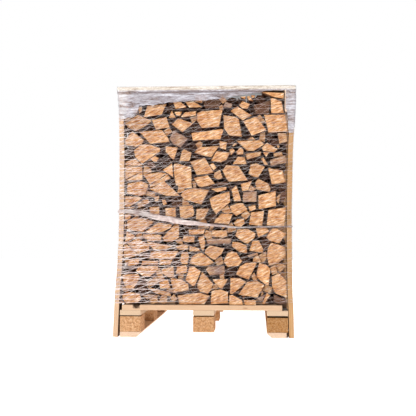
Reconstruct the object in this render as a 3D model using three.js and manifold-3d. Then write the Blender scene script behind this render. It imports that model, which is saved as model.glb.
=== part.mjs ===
// Split firewood stacked on a one-way wooden pallet, between nailed side posts, wrapped in knitted net and
// capped with clear film. Millimetres, +Z up, front face towards -Y, origin on the ground under the middle.
import * as THREE from 'three';
import { mergeVertices } from 'three/addons/utils/BufferGeometryUtils.js';
import Module from 'manifold-3d';

// Driving dimensions
const GAP = 0.3;                        // clearance kept between two pieces that touch

const PALLET = { width: 800, depth: 1200, middle: -4 };
const BOARD = { thick: 25, wide: 100 }; // sawn boards of the pallet and the posts
const BLOCK = { wide: 100, long: 145, high: 78 };
const DECK = { count: 7, left: -407, frontLeft: -394, frontRight: 368 };
const NOTCH = { left: -343, right: -307, low: 134, deep: 30 };
const SKID_CHAMFER = 16;                // width sawn off the inner lower corner of a skid
const SKID_PROUD = 3;       // how far the right skid stands out past its runner
const SKID_SPLIT = { wide: 11, long: 18 };  // strip split off the outer edge of the right skid, at the front
const SKID_EDGE = 20;                   // level at which its upright inner edge starts

const POST_TOP = 1177;
const LEFT_BOW = [
  [-438, 0], [-429.5, 204], [-418.5, 323], [-411, 466], [-408, 640], [-408.5, 894], [-413, POST_TOP],
];
const RIGHT_BOW = [
  [424, 0], [421, 153], [417.5, 190], [415, 323], [414, 608], [420.7, 894], [427, 1000], [433, POST_TOP],
];
const POST_PLACES = { front: -550, middle: 0, back: 550 };

const RAIL = { thick: 22, low: 1072, left: -386, right: 405 };
const CROSSBAR = { left: -418, right: 433, thick: 21, wide: 100 };

const ROWS = { count: 4, length: 288, pitch: 300 };
const ROW_OUTLINE = [
  [-389, 153.3], [388, 153.3], [388, 1068], [382, 1071], [382, 1168], [275, 1174], [252, 1160], [120, 1164],
  [0, 1156], [-130, 1162], [-250, 1152], [-362, 1146], [-362, 1069], [-381, 1064], [-381, 560], [-385, 330],
];

const NET = { thick: 1.2, low: 156, high: 1150 };
const BAND = { thick: 9, high: 18 };
const BAND_FRONT = [[-408, 600], [-365, 598], [-228, 568], [-104, 549], [22, 534], [146, 522], [396, 526]];
const FILM = { thick: 1.2, low: 1040 };
const HEM = [
  [-440, 1045], [-385, 1045], [-323, 1070], [-320, 1105], [-260, 1107], [-190, 1116], [72, 1136], [152, 1146],
  [276, 1164], [388, 1172], [392, 1080], [402, 975], [440, 965],
];

// Materials
const wood = (color, roughness = 0.85) => new THREE.MeshStandardMaterial({ color, roughness, metalness: 0 });
const SAWN_SPRUCE = wood(0xe4bd92);
const FRESH_SPRUCE = wood(0xe9c9a4);
const CHIPBOARD = wood(0xd4a273, 0.9);
const SPLIT_LOG = wood(0xc8905c, 0.9);
const NET_THREAD = new THREE.MeshStandardMaterial({ color: 0xe9e2dc, roughness: 0.5, metalness: 0 });
const CLEAR_FILM = new THREE.MeshStandardMaterial({
  color: 0xc9c6cc, roughness: 0.2, metalness: 0, transparent: true, opacity: 0.5,
});

const wasm = await Module();
wasm.setup();

// A closed three.js geometry as a solid that can be cut
function solid(geometry) {
  const bare = geometry.clone();
  bare.deleteAttribute('normal');
  bare.deleteAttribute('uv');
  const merged = mergeVertices(bare, 1e-4);
  return new wasm.Manifold(new wasm.Mesh({
    numProp: 3,
    vertProperties: Float32Array.from(merged.attributes.position.array),
    triVerts: Uint32Array.from(merged.index.array),
  }));
}

// The cut solid as a three.js geometry again
function geometryOf(cut) {
  const mesh = cut.getMesh();
  const geometry = new THREE.BufferGeometry();
  geometry.setAttribute('position', new THREE.BufferAttribute(mesh.vertProperties, 3));
  geometry.setIndex(new THREE.BufferAttribute(mesh.triVerts, 1));
  geometry.computeVertexNormals();
  return geometry;
}

// A block between two corners
function block(low, high) {
  const size = high.map((value, axis) => value - low[axis]);
  const geometry = new THREE.BoxGeometry(...size);
  geometry.translate(...low.map((value, axis) => value + size[axis] / 2));
  return geometry;
}

// An outline of [x, z] points as seen from the front, running from y = front to y = back
function frontPrism(outline, front, back) {
  const shape = new THREE.Shape(outline.map(([x, z]) => new THREE.Vector2(x, z)));
  const geometry = new THREE.ExtrudeGeometry(shape, { depth: back - front, bevelEnabled: false });
  geometry.rotateX(Math.PI / 2);
  geometry.translate(0, back, 0);
  return geometry;
}

const shifted = (line, dx) => line.map(([x, z]) => [x + dx, z]);

const group = new THREE.Group();

function add(name, geometry, material) {
  const mesh = new THREE.Mesh(geometry, material);
  mesh.name = name;
  group.add(mesh);
}

// Levels of the pallet, from the ground up
const half = { width: PALLET.width / 2, depth: PALLET.depth / 2 };
const left = PALLET.middle - half.width;
const right = PALLET.middle + half.width;
const blockLow = BOARD.thick;
const stringerLow = blockLow + BLOCK.high;
const deckLow = stringerLow + BOARD.thick;
const deckHigh = deckLow + BOARD.thick;

const RUNNERS = {
  left: left + BLOCK.wide / 2,
  middle: PALLET.middle,
  right: right - BLOCK.wide / 2,
};

function addPallet() {
  const blockPlaces = { front: -half.depth, middle: -BLOCK.long / 2, back: half.depth - BLOCK.long };
  for (const [side, x] of Object.entries(RUNNERS)) {
    const [low, high] = [x - BLOCK.wide / 2, x + BLOCK.wide / 2];
    for (const [place, y] of Object.entries(blockPlaces)) {
      add(`block_${side}_${place}`,
        block([low, y, blockLow + GAP], [high, y + BLOCK.long, stringerLow]), CHIPBOARD);
    }
    add(`stringer_${side}`,
      block([low, -half.depth, stringerLow + GAP], [high, half.depth, deckLow]), FRESH_SPRUCE);
  }
  // Skids under the two outer runners, with the lower inner corner sawn off
  for (const [side, inward] of [['left', 1], ['right', -1]]) {
    const outer = RUNNERS[side] - inward * BLOCK.wide / 2 + (side === 'right' ? SKID_PROUD : 0);
    const inner = RUNNERS[side] + inward * BLOCK.wide / 2;
    const outline = [
      [outer, 0], [inner - inward * SKID_CHAMFER, 0], [inner, SKID_EDGE], [inner, BOARD.thick],
      [outer, BOARD.thick],
    ];
    const skid = frontPrism(inward > 0 ? outline : outline.reverse(), -half.depth, half.depth);
    if (side === 'left') {
      add('skid_left', skid, SAWN_SPRUCE);
      continue;
    }
    // The right one has lost the front of its outer edge
    const lost = block(
      [outer - SKID_SPLIT.wide, -half.depth - SKID_SPLIT.wide, -BOARD.thick],
      [outer + SKID_SPLIT.wide, -half.depth + SKID_SPLIT.long, 2 * BOARD.thick],
    );
    add('skid_right', geometryOf(solid(skid).subtract(solid(lost))), SAWN_SPRUCE);
  }
  // Deck boards across the runners; the front one is shorter, with a V broken out of its front edge
  const pitch = (PALLET.depth - BOARD.wide) / (DECK.count - 1);
  for (let index = 0; index < DECK.count; index += 1) {
    const front = -half.depth + index * pitch;
    const back = front + BOARD.wide;
    if (index > 0) {
      add(`deck_board_${index + 1}`, block([DECK.left, front, deckLow + GAP], [right, back, deckHigh]), SAWN_SPRUCE);
      continue;
    }
    const board = block([DECK.frontLeft, front, deckLow + GAP], [DECK.frontRight, back, deckHigh]);
    const clear = deckHigh + NOTCH.deep;
    const wedge = frontPrism([
      [(NOTCH.left + NOTCH.right) / 2, NOTCH.low], [NOTCH.right, deckHigh], [NOTCH.right, clear],
      [NOTCH.left, clear], [NOTCH.left, deckHigh],
    ], front - NOTCH.deep, front + NOTCH.deep);
    add('deck_board_1', geometryOf(solid(board).subtract(solid(wedge))), SAWN_SPRUCE);
  }
}

// Posts nailed to the sides of the pallet, bowed by the load, with a rail inside their tops
function addFrame() {
  for (const [place, y] of Object.entries(POST_PLACES)) {
    const [front, back] = [y - BOARD.wide / 2, y + BOARD.wide / 2];
    const leftOutline = [...LEFT_BOW, ...shifted(LEFT_BOW, BOARD.thick - 1).reverse()].reverse();
    const rightOutline = [...RIGHT_BOW, ...shifted(RIGHT_BOW, 1 - BOARD.thick).reverse()];
    add(`post_left_${place}`, frontPrism(leftOutline, front, back), SAWN_SPRUCE);
    add(`post_right_${place}`, frontPrism(rightOutline, front, back), SAWN_SPRUCE);
  }
  add('rail_left', block([RAIL.left, -half.depth, RAIL.low], [RAIL.left + RAIL.thick, half.depth, POST_TOP]),
    SAWN_SPRUCE);
  add('rail_right', block([RAIL.right - RAIL.thick, -half.depth, RAIL.low], [RAIL.right, half.depth, POST_TOP]),
    SAWN_SPRUCE);
  for (const [place, y] of [['front', -half.depth], ['back', half.depth - CROSSBAR.wide]]) {
    add(`crossbar_${place}`, block(
      [CROSSBAR.left, y, POST_TOP + GAP],
      [CROSSBAR.right, y + CROSSBAR.wide, POST_TOP + CROSSBAR.thick],
    ), FRESH_SPRUCE);
  }
}

// Rows of split logs, cut ends to the front and back
function addRows() {
  for (let index = 0; index < ROWS.count; index += 1) {
    const middle = (index - (ROWS.count - 1) / 2) * ROWS.pitch;
    add(`log_row_${index + 1}`,
      frontPrism(ROW_OUTLINE, middle - ROWS.length / 2, middle + ROWS.length / 2), SPLIT_LOG);
  }
}

// The outside of the posts seen from the front, moved outwards, between two levels
function girth(out) {
  return [...shifted(RIGHT_BOW, out), ...shifted(LEFT_BOW, -out).reverse()];
}

// A closed skin round the posts, thick millimetres of it, starting clear millimetres outside them
function sleeve(clear, thick) {
  const reach = half.depth + clear;
  const outer = solid(frontPrism(girth(clear + thick), -reach - thick, reach + thick));
  const inner = solid(frontPrism(girth(clear), -reach, reach));
  return outer.subtract(inner);
}

function addWraps() {
  const far = 700;
  const slab = (low, high) => solid(block([-far, -far, low], [far, far, high]));
  add('net_wrap', geometryOf(sleeve(GAP, NET.thick).intersect(slab(NET.low, NET.high))), NET_THREAD);

  // The net's gathered edge, drawn down across the front and round the back
  const clear = GAP + NET.thick + GAP;
  const level = BAND_FRONT[BAND_FRONT.length - 1][1];
  const path = [[-far, BAND_FRONT[0][1]], ...BAND_FRONT, [far, level]];
  const low = path.map(([x, z]) => [x, z - BAND.high / 2]);
  const high = path.map(([x, z]) => [x, z + BAND.high / 2]).reverse();
  const stripe = solid(frontPrism([...low, ...high], -far, far));
  add('gathered_band', geometryOf(sleeve(clear, BAND.thick).intersect(stripe)), NET_THREAD);

  // Clear film over the top, with a skirt that hangs to the hem
  const top = POST_TOP + CROSSBAR.thick + GAP;
  const reach = half.depth + clear;
  const box = (out, roof, floor) => solid(block(
    [CROSSBAR.left - clear - out, -reach - out, floor],
    [CROSSBAR.right + clear + out, reach + out, roof],
  ));
  const shell = box(FILM.thick, top + FILM.thick, FILM.low - 100).subtract(box(0, top, FILM.low - 200));
  const below = [...HEM, [440, 900], [-440, 900]].reverse();
  const hem = solid(frontPrism(below, -far, far));
  add('film_cap', geometryOf(shell.subtract(hem)), CLEAR_FILM);
}

addPallet();
addFrame();
addRows();
addWraps();

export default group;
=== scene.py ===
"""Split firewood on a pallet, wrapped in net and capped with film: the finish of every surface.

Metres, +Z up, the front with the cut ends of the logs towards -Y.
"""
import math
import bpy
import numpy as np
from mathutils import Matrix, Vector


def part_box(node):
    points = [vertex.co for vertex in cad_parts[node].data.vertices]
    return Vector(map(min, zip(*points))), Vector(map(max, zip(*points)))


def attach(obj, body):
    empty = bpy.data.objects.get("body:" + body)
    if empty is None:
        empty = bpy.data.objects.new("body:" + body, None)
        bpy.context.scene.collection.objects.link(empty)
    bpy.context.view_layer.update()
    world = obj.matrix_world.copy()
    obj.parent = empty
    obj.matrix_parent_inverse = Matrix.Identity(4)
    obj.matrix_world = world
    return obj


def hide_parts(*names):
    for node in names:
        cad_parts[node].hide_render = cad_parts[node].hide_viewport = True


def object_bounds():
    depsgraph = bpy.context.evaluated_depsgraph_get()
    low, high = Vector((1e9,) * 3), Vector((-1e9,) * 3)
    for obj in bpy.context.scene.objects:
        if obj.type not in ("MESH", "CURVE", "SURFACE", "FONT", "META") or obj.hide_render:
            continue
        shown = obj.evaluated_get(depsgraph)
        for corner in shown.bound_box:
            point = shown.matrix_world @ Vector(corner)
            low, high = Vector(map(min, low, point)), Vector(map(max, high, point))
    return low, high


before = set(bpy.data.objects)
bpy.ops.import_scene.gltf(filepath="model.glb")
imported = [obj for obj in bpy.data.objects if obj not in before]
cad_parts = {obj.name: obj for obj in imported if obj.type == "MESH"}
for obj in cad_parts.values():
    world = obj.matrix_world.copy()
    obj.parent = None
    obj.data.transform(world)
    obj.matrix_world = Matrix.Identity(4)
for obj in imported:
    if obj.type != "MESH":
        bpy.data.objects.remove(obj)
CAD_LOW, CAD_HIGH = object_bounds()

MM = 0.001
CM = 0.01

# ---------------------------------------------------------------- camera and light

def vector(point):
    return Vector([float(value) for value in point])


def aim(thing, place, target):
    """Puts a camera or lamp at a place, looking along its own -Z at the target, level with the ground."""
    thing.location = vector(place)
    thing.rotation_euler = (vector(target) - vector(place)).to_track_quat("-Z", "Y").to_euler()


def add_camera():
    """An eye-level view a little to the right of the front, about four metres away."""
    camera = bpy.data.objects.new("camera", bpy.data.cameras.new("camera"))
    bpy.context.scene.collection.objects.link(camera)
    camera.data.sensor_width = 36
    camera.data.lens = 72.9
    aim(camera, (0.252, -4.60, 0.487), (0.0173, -0.60, 0.6143))
    bpy.context.scene.camera = camera


def add_lamp(name, place, target, size, watts, colour=(1, 1, 1)):
    data = bpy.data.lights.new(name, "AREA")
    data.shape = "RECTANGLE"
    data.size, data.size_y = size
    data.energy = watts
    data.color = colour
    lamp = bpy.data.objects.new(name, data)
    bpy.context.scene.collection.objects.link(lamp)
    aim(lamp, place, target)


# ---------------------------------------------------------------- materials

def srgb(code):
    """A hex colour such as 0xE4BD92 as linear red, green, blue and an alpha of 1."""
    parts = [(code >> shift & 255) / 255 for shift in (16, 8, 0)]
    return [p / 12.92 if p <= 0.04045 else ((p + 0.055) / 1.055) ** 2.4 for p in parts] + [1.0]


class Nodes:
    """The node tree of one material, with one call that adds a node, sets it up and links it."""

    def __init__(self, name):
        self.material = bpy.data.materials.new(name)
        self.material.use_nodes = True
        self.tree = self.material.node_tree
        self.tree.nodes.clear()
        self.shader = self.add("BsdfPrincipled")
        self.add("OutputMaterial", Surface=self.shader)

    def add(self, kind, settings=None, out=0, **sockets):
        """Adds a shader node. A socket value is a number, a colour, or a node whose output is linked in."""
        node = self.tree.nodes.new("ShaderNode" + kind)
        node["out"] = out
        for key, value in (settings or {}).items():
            setattr(node, key, value)
        for key, value in sockets.items():
            self.set(node, key, value)
        return node

    def set(self, node, key, value):
        """Links or sets one input, named with _ for a space, or in0, in1 and so on by its place."""
        if key[:2] == "in" and key[2:].isdigit():
            socket = node.inputs[int(key[2:])]
        else:
            socket = node.inputs[key.replace("_", " ")]
        if isinstance(value, bpy.types.Node):
            value = value.outputs[value["out"]]
        if isinstance(value, bpy.types.NodeSocket):
            self.tree.links.new(value, socket)
        else:
            socket.default_value = value

    def attribute(self, name, kind="number"):
        """One of the mesh's own attributes: a number, a vector or a colour."""
        out = {"colour": 0, "vector": 1, "number": 2}[kind]
        return self.add("Attribute", {"attribute_name": name}, out=out)

    def noise(self, place, scale, detail, roughness=0.5, distortion=0.0):
        return self.add("TexNoise", in0=place, Scale=scale, Detail=detail, Roughness=roughness,
                        Distortion=distortion)

    def ramp(self, factor, stops):
        """A colour that runs through (place, hex colour) stops as the factor goes from 0 to 1."""
        node = self.add("ValToRGB", Fac=factor)
        band = node.color_ramp
        while len(band.elements) < len(stops):
            band.elements.new(0.5)
        for element, (place, colour) in zip(band.elements, stops):
            element.position = place
            element.color = srgb(colour)
        return node

    def math(self, operation, *values):
        return self.add("Math", {"operation": operation}, **{f"in{i}": v for i, v in enumerate(values)})

    def mix(self, factor, first, second, blend="MIX"):
        """One colour over another. The second may be a hex colour."""
        second = srgb(second) if isinstance(second, int) else second
        return self.add("Mix", {"data_type": "RGBA", "blend_type": blend}, out=2, in0=factor, in6=first,
                        in7=second)

    def finish(self, colour, roughness, specular=0.5, height=None, strength=0.0, depth=0.0):
        """Sets the surface's colour, roughness and mirroring, and a fine relief of the given depth."""
        self.set(self.shader, "Base Color", colour)
        self.set(self.shader, "Roughness", roughness)
        self.set(self.shader, "Specular IOR Level", specular)
        if height is not None:
            bump = self.add("Bump", Strength=strength, Distance=depth, Height=height)
            self.set(self.shader, "Normal", bump)
        return self.material


def grain_coordinates(n, along, across):
    """The wood's own coordinates, squeezed so that a pattern is long along the fibres."""
    return n.add("Mapping", in0=n.attribute("grain", "vector"), Scale=(along, across, across))


def ring_waves(n, spacing, wander):
    """Growth rings: a wave of the distance from the pith, which wanders a little along the fibres."""
    drift = n.noise(grain_coordinates(n, 3, 18), 1.0, 2.0)
    across = n.add("VectorMath", {"operation": "MULTIPLY"}, in0=n.attribute("grain", "vector"), in1=(0, 1, 1))
    radius = n.add("VectorMath", {"operation": "LENGTH"}, out=1, in0=across)
    bent = n.math("MULTIPLY_ADD", drift, wander, radius)
    wave = n.math("SINE", n.math("MULTIPLY", bent, 2 * math.pi / spacing))
    return n.math("MULTIPLY_ADD", wave, 0.5, 0.5)


def split_log_wood():
    """Split hardwood, chain-sawn to length: orange-tan fuzzy ends with faint rings and drying checks, and
    fibrous split sides, painted dark brown as shade since they show only in the gaps, with grey-brown bark on
    the round side of some."""
    n = Nodes("split_hardwood_chainsawn_ends")
    place = n.add("TexCoord", out=3)
    tone, grey, bark = n.add("SeparateColor", in0=n.attribute("tint", "colour")).outputs

    # ends: tan, with rings 3.5 mm apart. The chain left short strokes that rise to the right, about 30 mm
    # long and 7 mm wide; they are painted cream on their crests and orange-brown in their troughs, painted
    # highlight and shade
    slanted = n.add("Mapping", {"vector_type": "TEXTURE"}, in0=place, Rotation=(0, -0.38, 0),
                    Scale=(0.032, 0.5, 0.007))
    marks = n.noise(slanted, 1.0, 3.0, 0.55)
    end = n.ramp(marks, [
        (0.32, 0xA2602F), (0.42, 0xC98A52), (0.52, 0xDCA671), (0.60, 0xE9BD8E), (0.70, 0xFFF0DA),
    ])
    mottle = n.noise(place, 60.0, 5.0, 0.7)
    end = n.mix(0.6, end, n.ramp(mottle, [(0.32, 0xB4A494), (0.52, 0xFFFFFF)]), "MULTIPLY")
    end = n.mix(n.math("MULTIPLY", ring_waves(n, 3.5 * MM, 2 * MM), 0.14), end, 0xB67A48)
    checks = n.noise(grain_coordinates(n, 2, 60), 1.0, 5.0)
    check_line = n.ramp(checks, [(0.0, 0xFFFFFF), (0.34, 0xFFFFFF), (0.36, 0x8A5A38), (0.38, 0xFFFFFF)])
    end = n.mix(0.5, end, check_line, "MULTIPLY")

    # split sides: fibres run along the log in dark browns that are painted shade, nearly black-brown, more
    # painted shade, where the log lies deep in the stack
    fibres = n.noise(grain_coordinates(n, 6, 260), 1.0, 4.0, 0.65)
    side = n.ramp(fibres, [(0.25, 0x553024), (0.5, 0x865A42), (0.75, 0xAE8060)])
    side = n.mix(n.math("MULTIPLY", n.attribute("buried"), 0.78), side, 0x4A0F06)
    wood = n.mix(n.attribute("cut"), side, end)

    # bark: rough plates, grey-brown
    plates = n.noise(grain_coordinates(n, 25, 110), 1.0, 6.0, 0.7)
    wood = n.mix(bark, wood, n.ramp(plates, [(0.3, 0x42150D), (0.5, 0x6E3D2D), (0.7, 0x966D5E)]))

    # weathering: some pieces have greyed or darkened ends
    stain = n.ramp(n.noise(place, 22.0, 3.0), [(0.3, 0x808080), (0.6, 0xFFFFFF)])
    wood = n.mix(n.math("MULTIPLY", grey, stain), wood, 0x8B7470)
    wood = n.add("HueSaturation", Hue=0.5, Saturation=0.97, Value=n.math("ADD", tone, 0.43), Color=wood)
    fuzz = n.math("ADD", n.math("MULTIPLY", marks, 0.5), n.noise(place, 420.0, 3.0))
    height = n.math("ADD", fuzz, n.math("MULTIPLY", fibres, 1.5))
    return n.finish(wood, 0.85, 0.25, height, 0.55, 1.2 * MM)


def sawn_spruce(name, light, mid, dark):
    """Band-sawn spruce: straight grain lines from the rings, a fuzzy surface with cross saw marks, a few
    knots, and greyer, darker patches where it was handled. Darker boards are more orange."""
    n = Nodes(name)
    place = n.add("TexCoord", out=3)
    fibres = n.noise(grain_coordinates(n, 5, 300), 1.0, 4.0, 0.6)
    wood = n.ramp(fibres, [(0.3, mid), (0.65, light)])
    wood = n.mix(n.math("MULTIPLY", ring_waves(n, 4.5 * MM, 5 * MM), 0.34), wood, dark)
    knots = n.add("TexVoronoi", in0=grain_coordinates(n, 4.5, 16), Scale=1.0)
    knot = n.ramp(knots, [(0.0, 0x7A4A28), (0.05, 0xA5703F), (0.09, 0xFFFFFF)])
    wood = n.mix(0.8, wood, knot, "MULTIPLY")
    handled = n.ramp(n.noise(place, 7.0, 4.0, 0.6), [(0.45, 0x000000), (0.75, 0x606060)])
    wood = n.mix(handled, wood, 0xA98A70)
    # painted shade and dirt: the mesh's darkening attribute paints boards nearly black-brown where they lie
    # in the load's shade and look into its gaps, and at painted shadows, scuffs and the broken V
    dark_shade_and_dirt = n.math("MULTIPLY", n.attribute("dirt"), n.ramp(fibres, [(0.3, 0xFFFFFF), (0.7, 0xB8B8B8)]))
    wood = n.mix(dark_shade_and_dirt, wood, 0x38190F)
    tone = n.attribute("tone")
    depth = n.math("MULTIPLY_ADD", tone, -1.8, 2.62)
    wood = n.add("HueSaturation", Hue=0.5, Saturation=depth, Value=tone, Color=wood)
    saw = n.add("TexWave", {"bands_direction": "X"}, in0=grain_coordinates(n, 1, 0.3), Scale=90.0,
                Distortion=2.5, Detail=2.0)
    height = n.math("ADD", n.math("MULTIPLY", saw, 0.5), fibres)
    return n.finish(wood, 0.8, 0.3, height, 0.4, 0.8 * MM)


def pressed_chipboard():
    """Pallet block of pressed wood chips: flakes of 3 to 6 mm in tan and light brown, lumps of 10 mm that
    are darker or lighter, and crumbly pits between them. Each block has its own shade."""
    n = Nodes("chipboard_pressed")
    place = n.add("TexCoord", out=3)
    flakes = n.add("TexVoronoi", in0=place, Scale=210.0, Randomness=1.0)
    shade = n.add("SeparateColor", in0=flakes.outputs[1])
    wood = n.ramp(shade, [(0.0, 0xBA865C), (0.12, 0xD3A276), (0.7, 0xDBAE84), (1.0, 0xE5BE98)])
    small = n.noise(place, 330.0, 4.0, 0.7)
    wood = n.mix(n.ramp(small, [(0.36, 0xC0C0C0), (0.52, 0x000000)]), wood, 0x94623E)
    lumps = n.noise(place, 95.0, 3.0, 0.7)
    wood = n.mix(n.ramp(lumps, [(0.38, 0xC8C8C8), (0.54, 0x000000)]), wood, 0x8E5C38)
    wood = n.mix(n.ramp(lumps, [(0.56, 0x000000), (0.68, 0xA0A0A0)]), wood, 0xF0CFA8)
    damp = n.noise(place, 14.0, 3.0)
    wood = n.mix(n.ramp(damp, [(0.45, 0x000000), (0.8, 0x505050)]), wood, 0xB98556)
    tone = n.attribute("tone")
    depth = n.math("MULTIPLY_ADD", tone, -0.5, 1.46)
    wood = n.add("HueSaturation", Hue=0.5, Saturation=depth, Value=tone, Color=wood)
    height = n.math("ADD", n.math("MULTIPLY", flakes, -0.8), small)
    return n.finish(wood, 0.9, 0.2, height, 0.35, 0.8 * MM)


def knitted_thread(name, thin, full):
    """Knitted polyethylene tape: whitish and part see-through, painted light and shade by its lit attribute,
    brighter where it bunches.
    """
    n = Nodes(name)
    uneven = n.noise(n.add("TexCoord", out=3), 34.0, 3.0)
    white = n.ramp(uneven, [(0.3, 0xE4C7C1), (0.65, 0xFDF1EE)])
    n.set(n.shader, "Alpha", n.add("MapRange", in0=uneven, in1=0.36, in2=0.62, in3=thin, in4=full))
    lit = n.add("HueSaturation", Hue=0.5, Saturation=1.0, Value=n.attribute("lit"), Color=white)
    return n.finish(lit, 0.4)


def clear_film():
    """Thin polyethylene film: hazy lavender-grey where it hangs free, whiter where it lies doubled on the
    posts, cream over the crossbars and with a painted shadow where it is tucked in below them. Its colour
    follows the relief of its creases, painted shade in brown in their hollows and painted highlights on their
    crests, which also catch sharp highlights."""
    n = Nodes("polyethylene_film_wrinkled")
    own = n.attribute("cloth", "vector")
    creases = n.noise(n.add("Mapping", in0=own, Scale=(9, 62, 1)), 1.0, 4.0, 0.6, 1.1)
    crumple = n.noise(n.add("Mapping", in0=own, Scale=(60, 130, 1)), 1.0, 4.0, 0.65, 1.0)
    both = n.math("ADD", n.math("MULTIPLY", creases, 0.7), n.math("MULTIPLY", crumple, 0.3))
    # painted shade and highlight: the colour follows the crease relief, brown in the hollows and near white
    # on the crests
    free = n.ramp(both, [
        (0.38, 0x7C6460), (0.44, 0x9E9297), (0.52, 0xB4AFB8), (0.59, 0xC6C4CF), (0.66, 0xF0EFF4),
    ])
    thick = n.ramp(both, [(0.38, 0xA79EA2), (0.46, 0xD4D0D4), (0.58, 0xF2F1F3)])
    film = n.mix(n.attribute("doubled"), free, thick)
    # painted shadow just below the crossbars, where the film is tucked in
    film = n.mix(n.math("MULTIPLY", n.attribute("tucked"), 0.95), film, 0x5E4A4C)
    bar = n.attribute("bar")
    cream = n.ramp(both, [(0.40, 0xBDB09E), (0.48, 0xE9E1D2), (0.56, 0xFBF8F0)])
    film = n.mix(n.math("MULTIPLY", bar, 0.75), film, cream)
    haze = n.add("MapRange", in0=both, in1=0.40, in2=0.6, in3=0.60, in4=0.86)
    n.set(n.shader, "Alpha", n.math("MULTIPLY", haze, n.math("MULTIPLY_ADD", bar, -0.16, 1.0)))
    n.set(n.shader, "IOR", 1.5)
    height = n.math("ADD", creases, n.math("MULTIPLY", crumple, 0.35))
    return n.finish(film, 0.34, height=height, strength=0.6, depth=5 * MM)


def pale_floor():
    """A plain matt floor, lit a little from within so that it stays pale far away."""
    n = Nodes("floor_pale_matt")
    n.set(n.shader, "Emission Color", srgb(0xFFFFFF))
    n.set(n.shader, "Emission Strength", 1.0)
    return n.finish(srgb(0xF4F3F1), 0.9)


# ---------------------------------------------------------------- mesh helpers

def make_piece(name, points, faces, material, slot, replaces=(), smooth=False, **attributes):
    """A mesh object from whole arrays. faces is a list of (count, corners) index arrays, and an attribute
    is an array with one row per point: a number, a vector or a colour."""
    points = np.asarray(points, np.float32)
    corners = np.concatenate([np.asarray(f, np.int32).ravel() for f in faces])
    totals = np.concatenate([np.full(len(f), np.asarray(f).shape[1], np.int32) for f in faces])
    mesh = bpy.data.meshes.new(name)
    mesh.vertices.add(len(points))
    mesh.vertices.foreach_set("co", points.ravel())
    mesh.loops.add(len(corners))
    mesh.loops.foreach_set("vertex_index", corners)
    mesh.polygons.add(len(totals))
    mesh.polygons.foreach_set("loop_start", np.concatenate([[0], np.cumsum(totals)[:-1]]).astype(np.int32))
    mesh.polygons.foreach_set("loop_total", totals)
    mesh.polygons.foreach_set("use_smooth", np.full(len(totals), smooth))
    for key, values in attributes.items():
        values = np.asarray(values, np.float32)
        kind, field = {1: ("FLOAT", "value"), 2: ("FLOAT_VECTOR", "vector")}[values.ndim]
        if values.ndim == 2 and values.shape[1] == 4:
            kind, field = "FLOAT_COLOR", "color"
        mesh.attributes.new(key, kind, "POINT").data.foreach_set(field, values.ravel())
    mesh.update()
    mesh.validate()
    mesh.materials.append(material)
    piece = bpy.data.objects.new(name, mesh)
    bpy.context.scene.collection.objects.link(piece)
    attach(piece, "root")
    if replaces:
        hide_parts(*replaces)
    return piece


def tube_faces(strips, rings, sides, closed_ends=True, closed_loop=False):
    """Quads between neighbouring rings of points, for a number of equal tubes stored one after another,
    and a fan-free polygon over each end."""
    ring = np.arange(rings if closed_loop else rings - 1)
    side = np.arange(sides)
    a = ring[:, None] * sides + side
    b = ring[:, None] * sides + (side + 1) % sides
    up = ((ring + 1) % rings)[:, None] * sides
    quads = np.stack([a, b, up + (side + 1) % sides, up + side], -1).reshape(-1, 4)
    start = np.arange(strips)[:, None, None] * rings * sides
    found = [(quads[None] + start).reshape(-1, 4)]
    if closed_ends and not closed_loop:
        ends = np.stack([side[::-1], side + (rings - 1) * sides])
        found.append((ends[None] + start).reshape(-1, sides))
    return found


def smooth_noise(values, scale, seed):
    """Gentle one-dimensional noise between -1 and 1: three sines of unrelated lengths and phases."""
    random = np.random.default_rng(seed)
    total = np.zeros(np.shape(values))
    sizes = (1.0, 0.43, 0.19)
    for size in sizes:
        total += size * np.sin(np.asarray(values) / (scale * size) + random.uniform(0, 6.28))
    return total / sum(sizes)


# ---------------------------------------------------------------- sawn boards and blocks

def rounded_outline(width, height, radius, wobble, random):
    """Points round a rectangle: four round each corner's quarter circle, and four along each flat that
    leave it slightly uneven."""
    signs = [(1, 1), (-1, 1), (-1, -1), (1, -1)]
    centres = [np.array([sx * (width / 2 - radius), sy * (height / 2 - radius)]) for sx, sy in signs]
    points = []
    for quarter, centre in enumerate(centres):
        turn = np.linspace(0, math.pi / 2, 4) + quarter * math.pi / 2
        arc = radius * np.stack([np.cos(turn), np.sin(turn)], -1)
        start, end = centre + arc[-1], centres[(quarter + 1) % 4] + arc[-1]
        flat = start + (end - start) * np.linspace(0, 1, 6)[1:-1, None]
        points += [centre + arc, flat + random.normal(0, wobble, flat.shape)]
    return np.concatenate(points)


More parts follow.
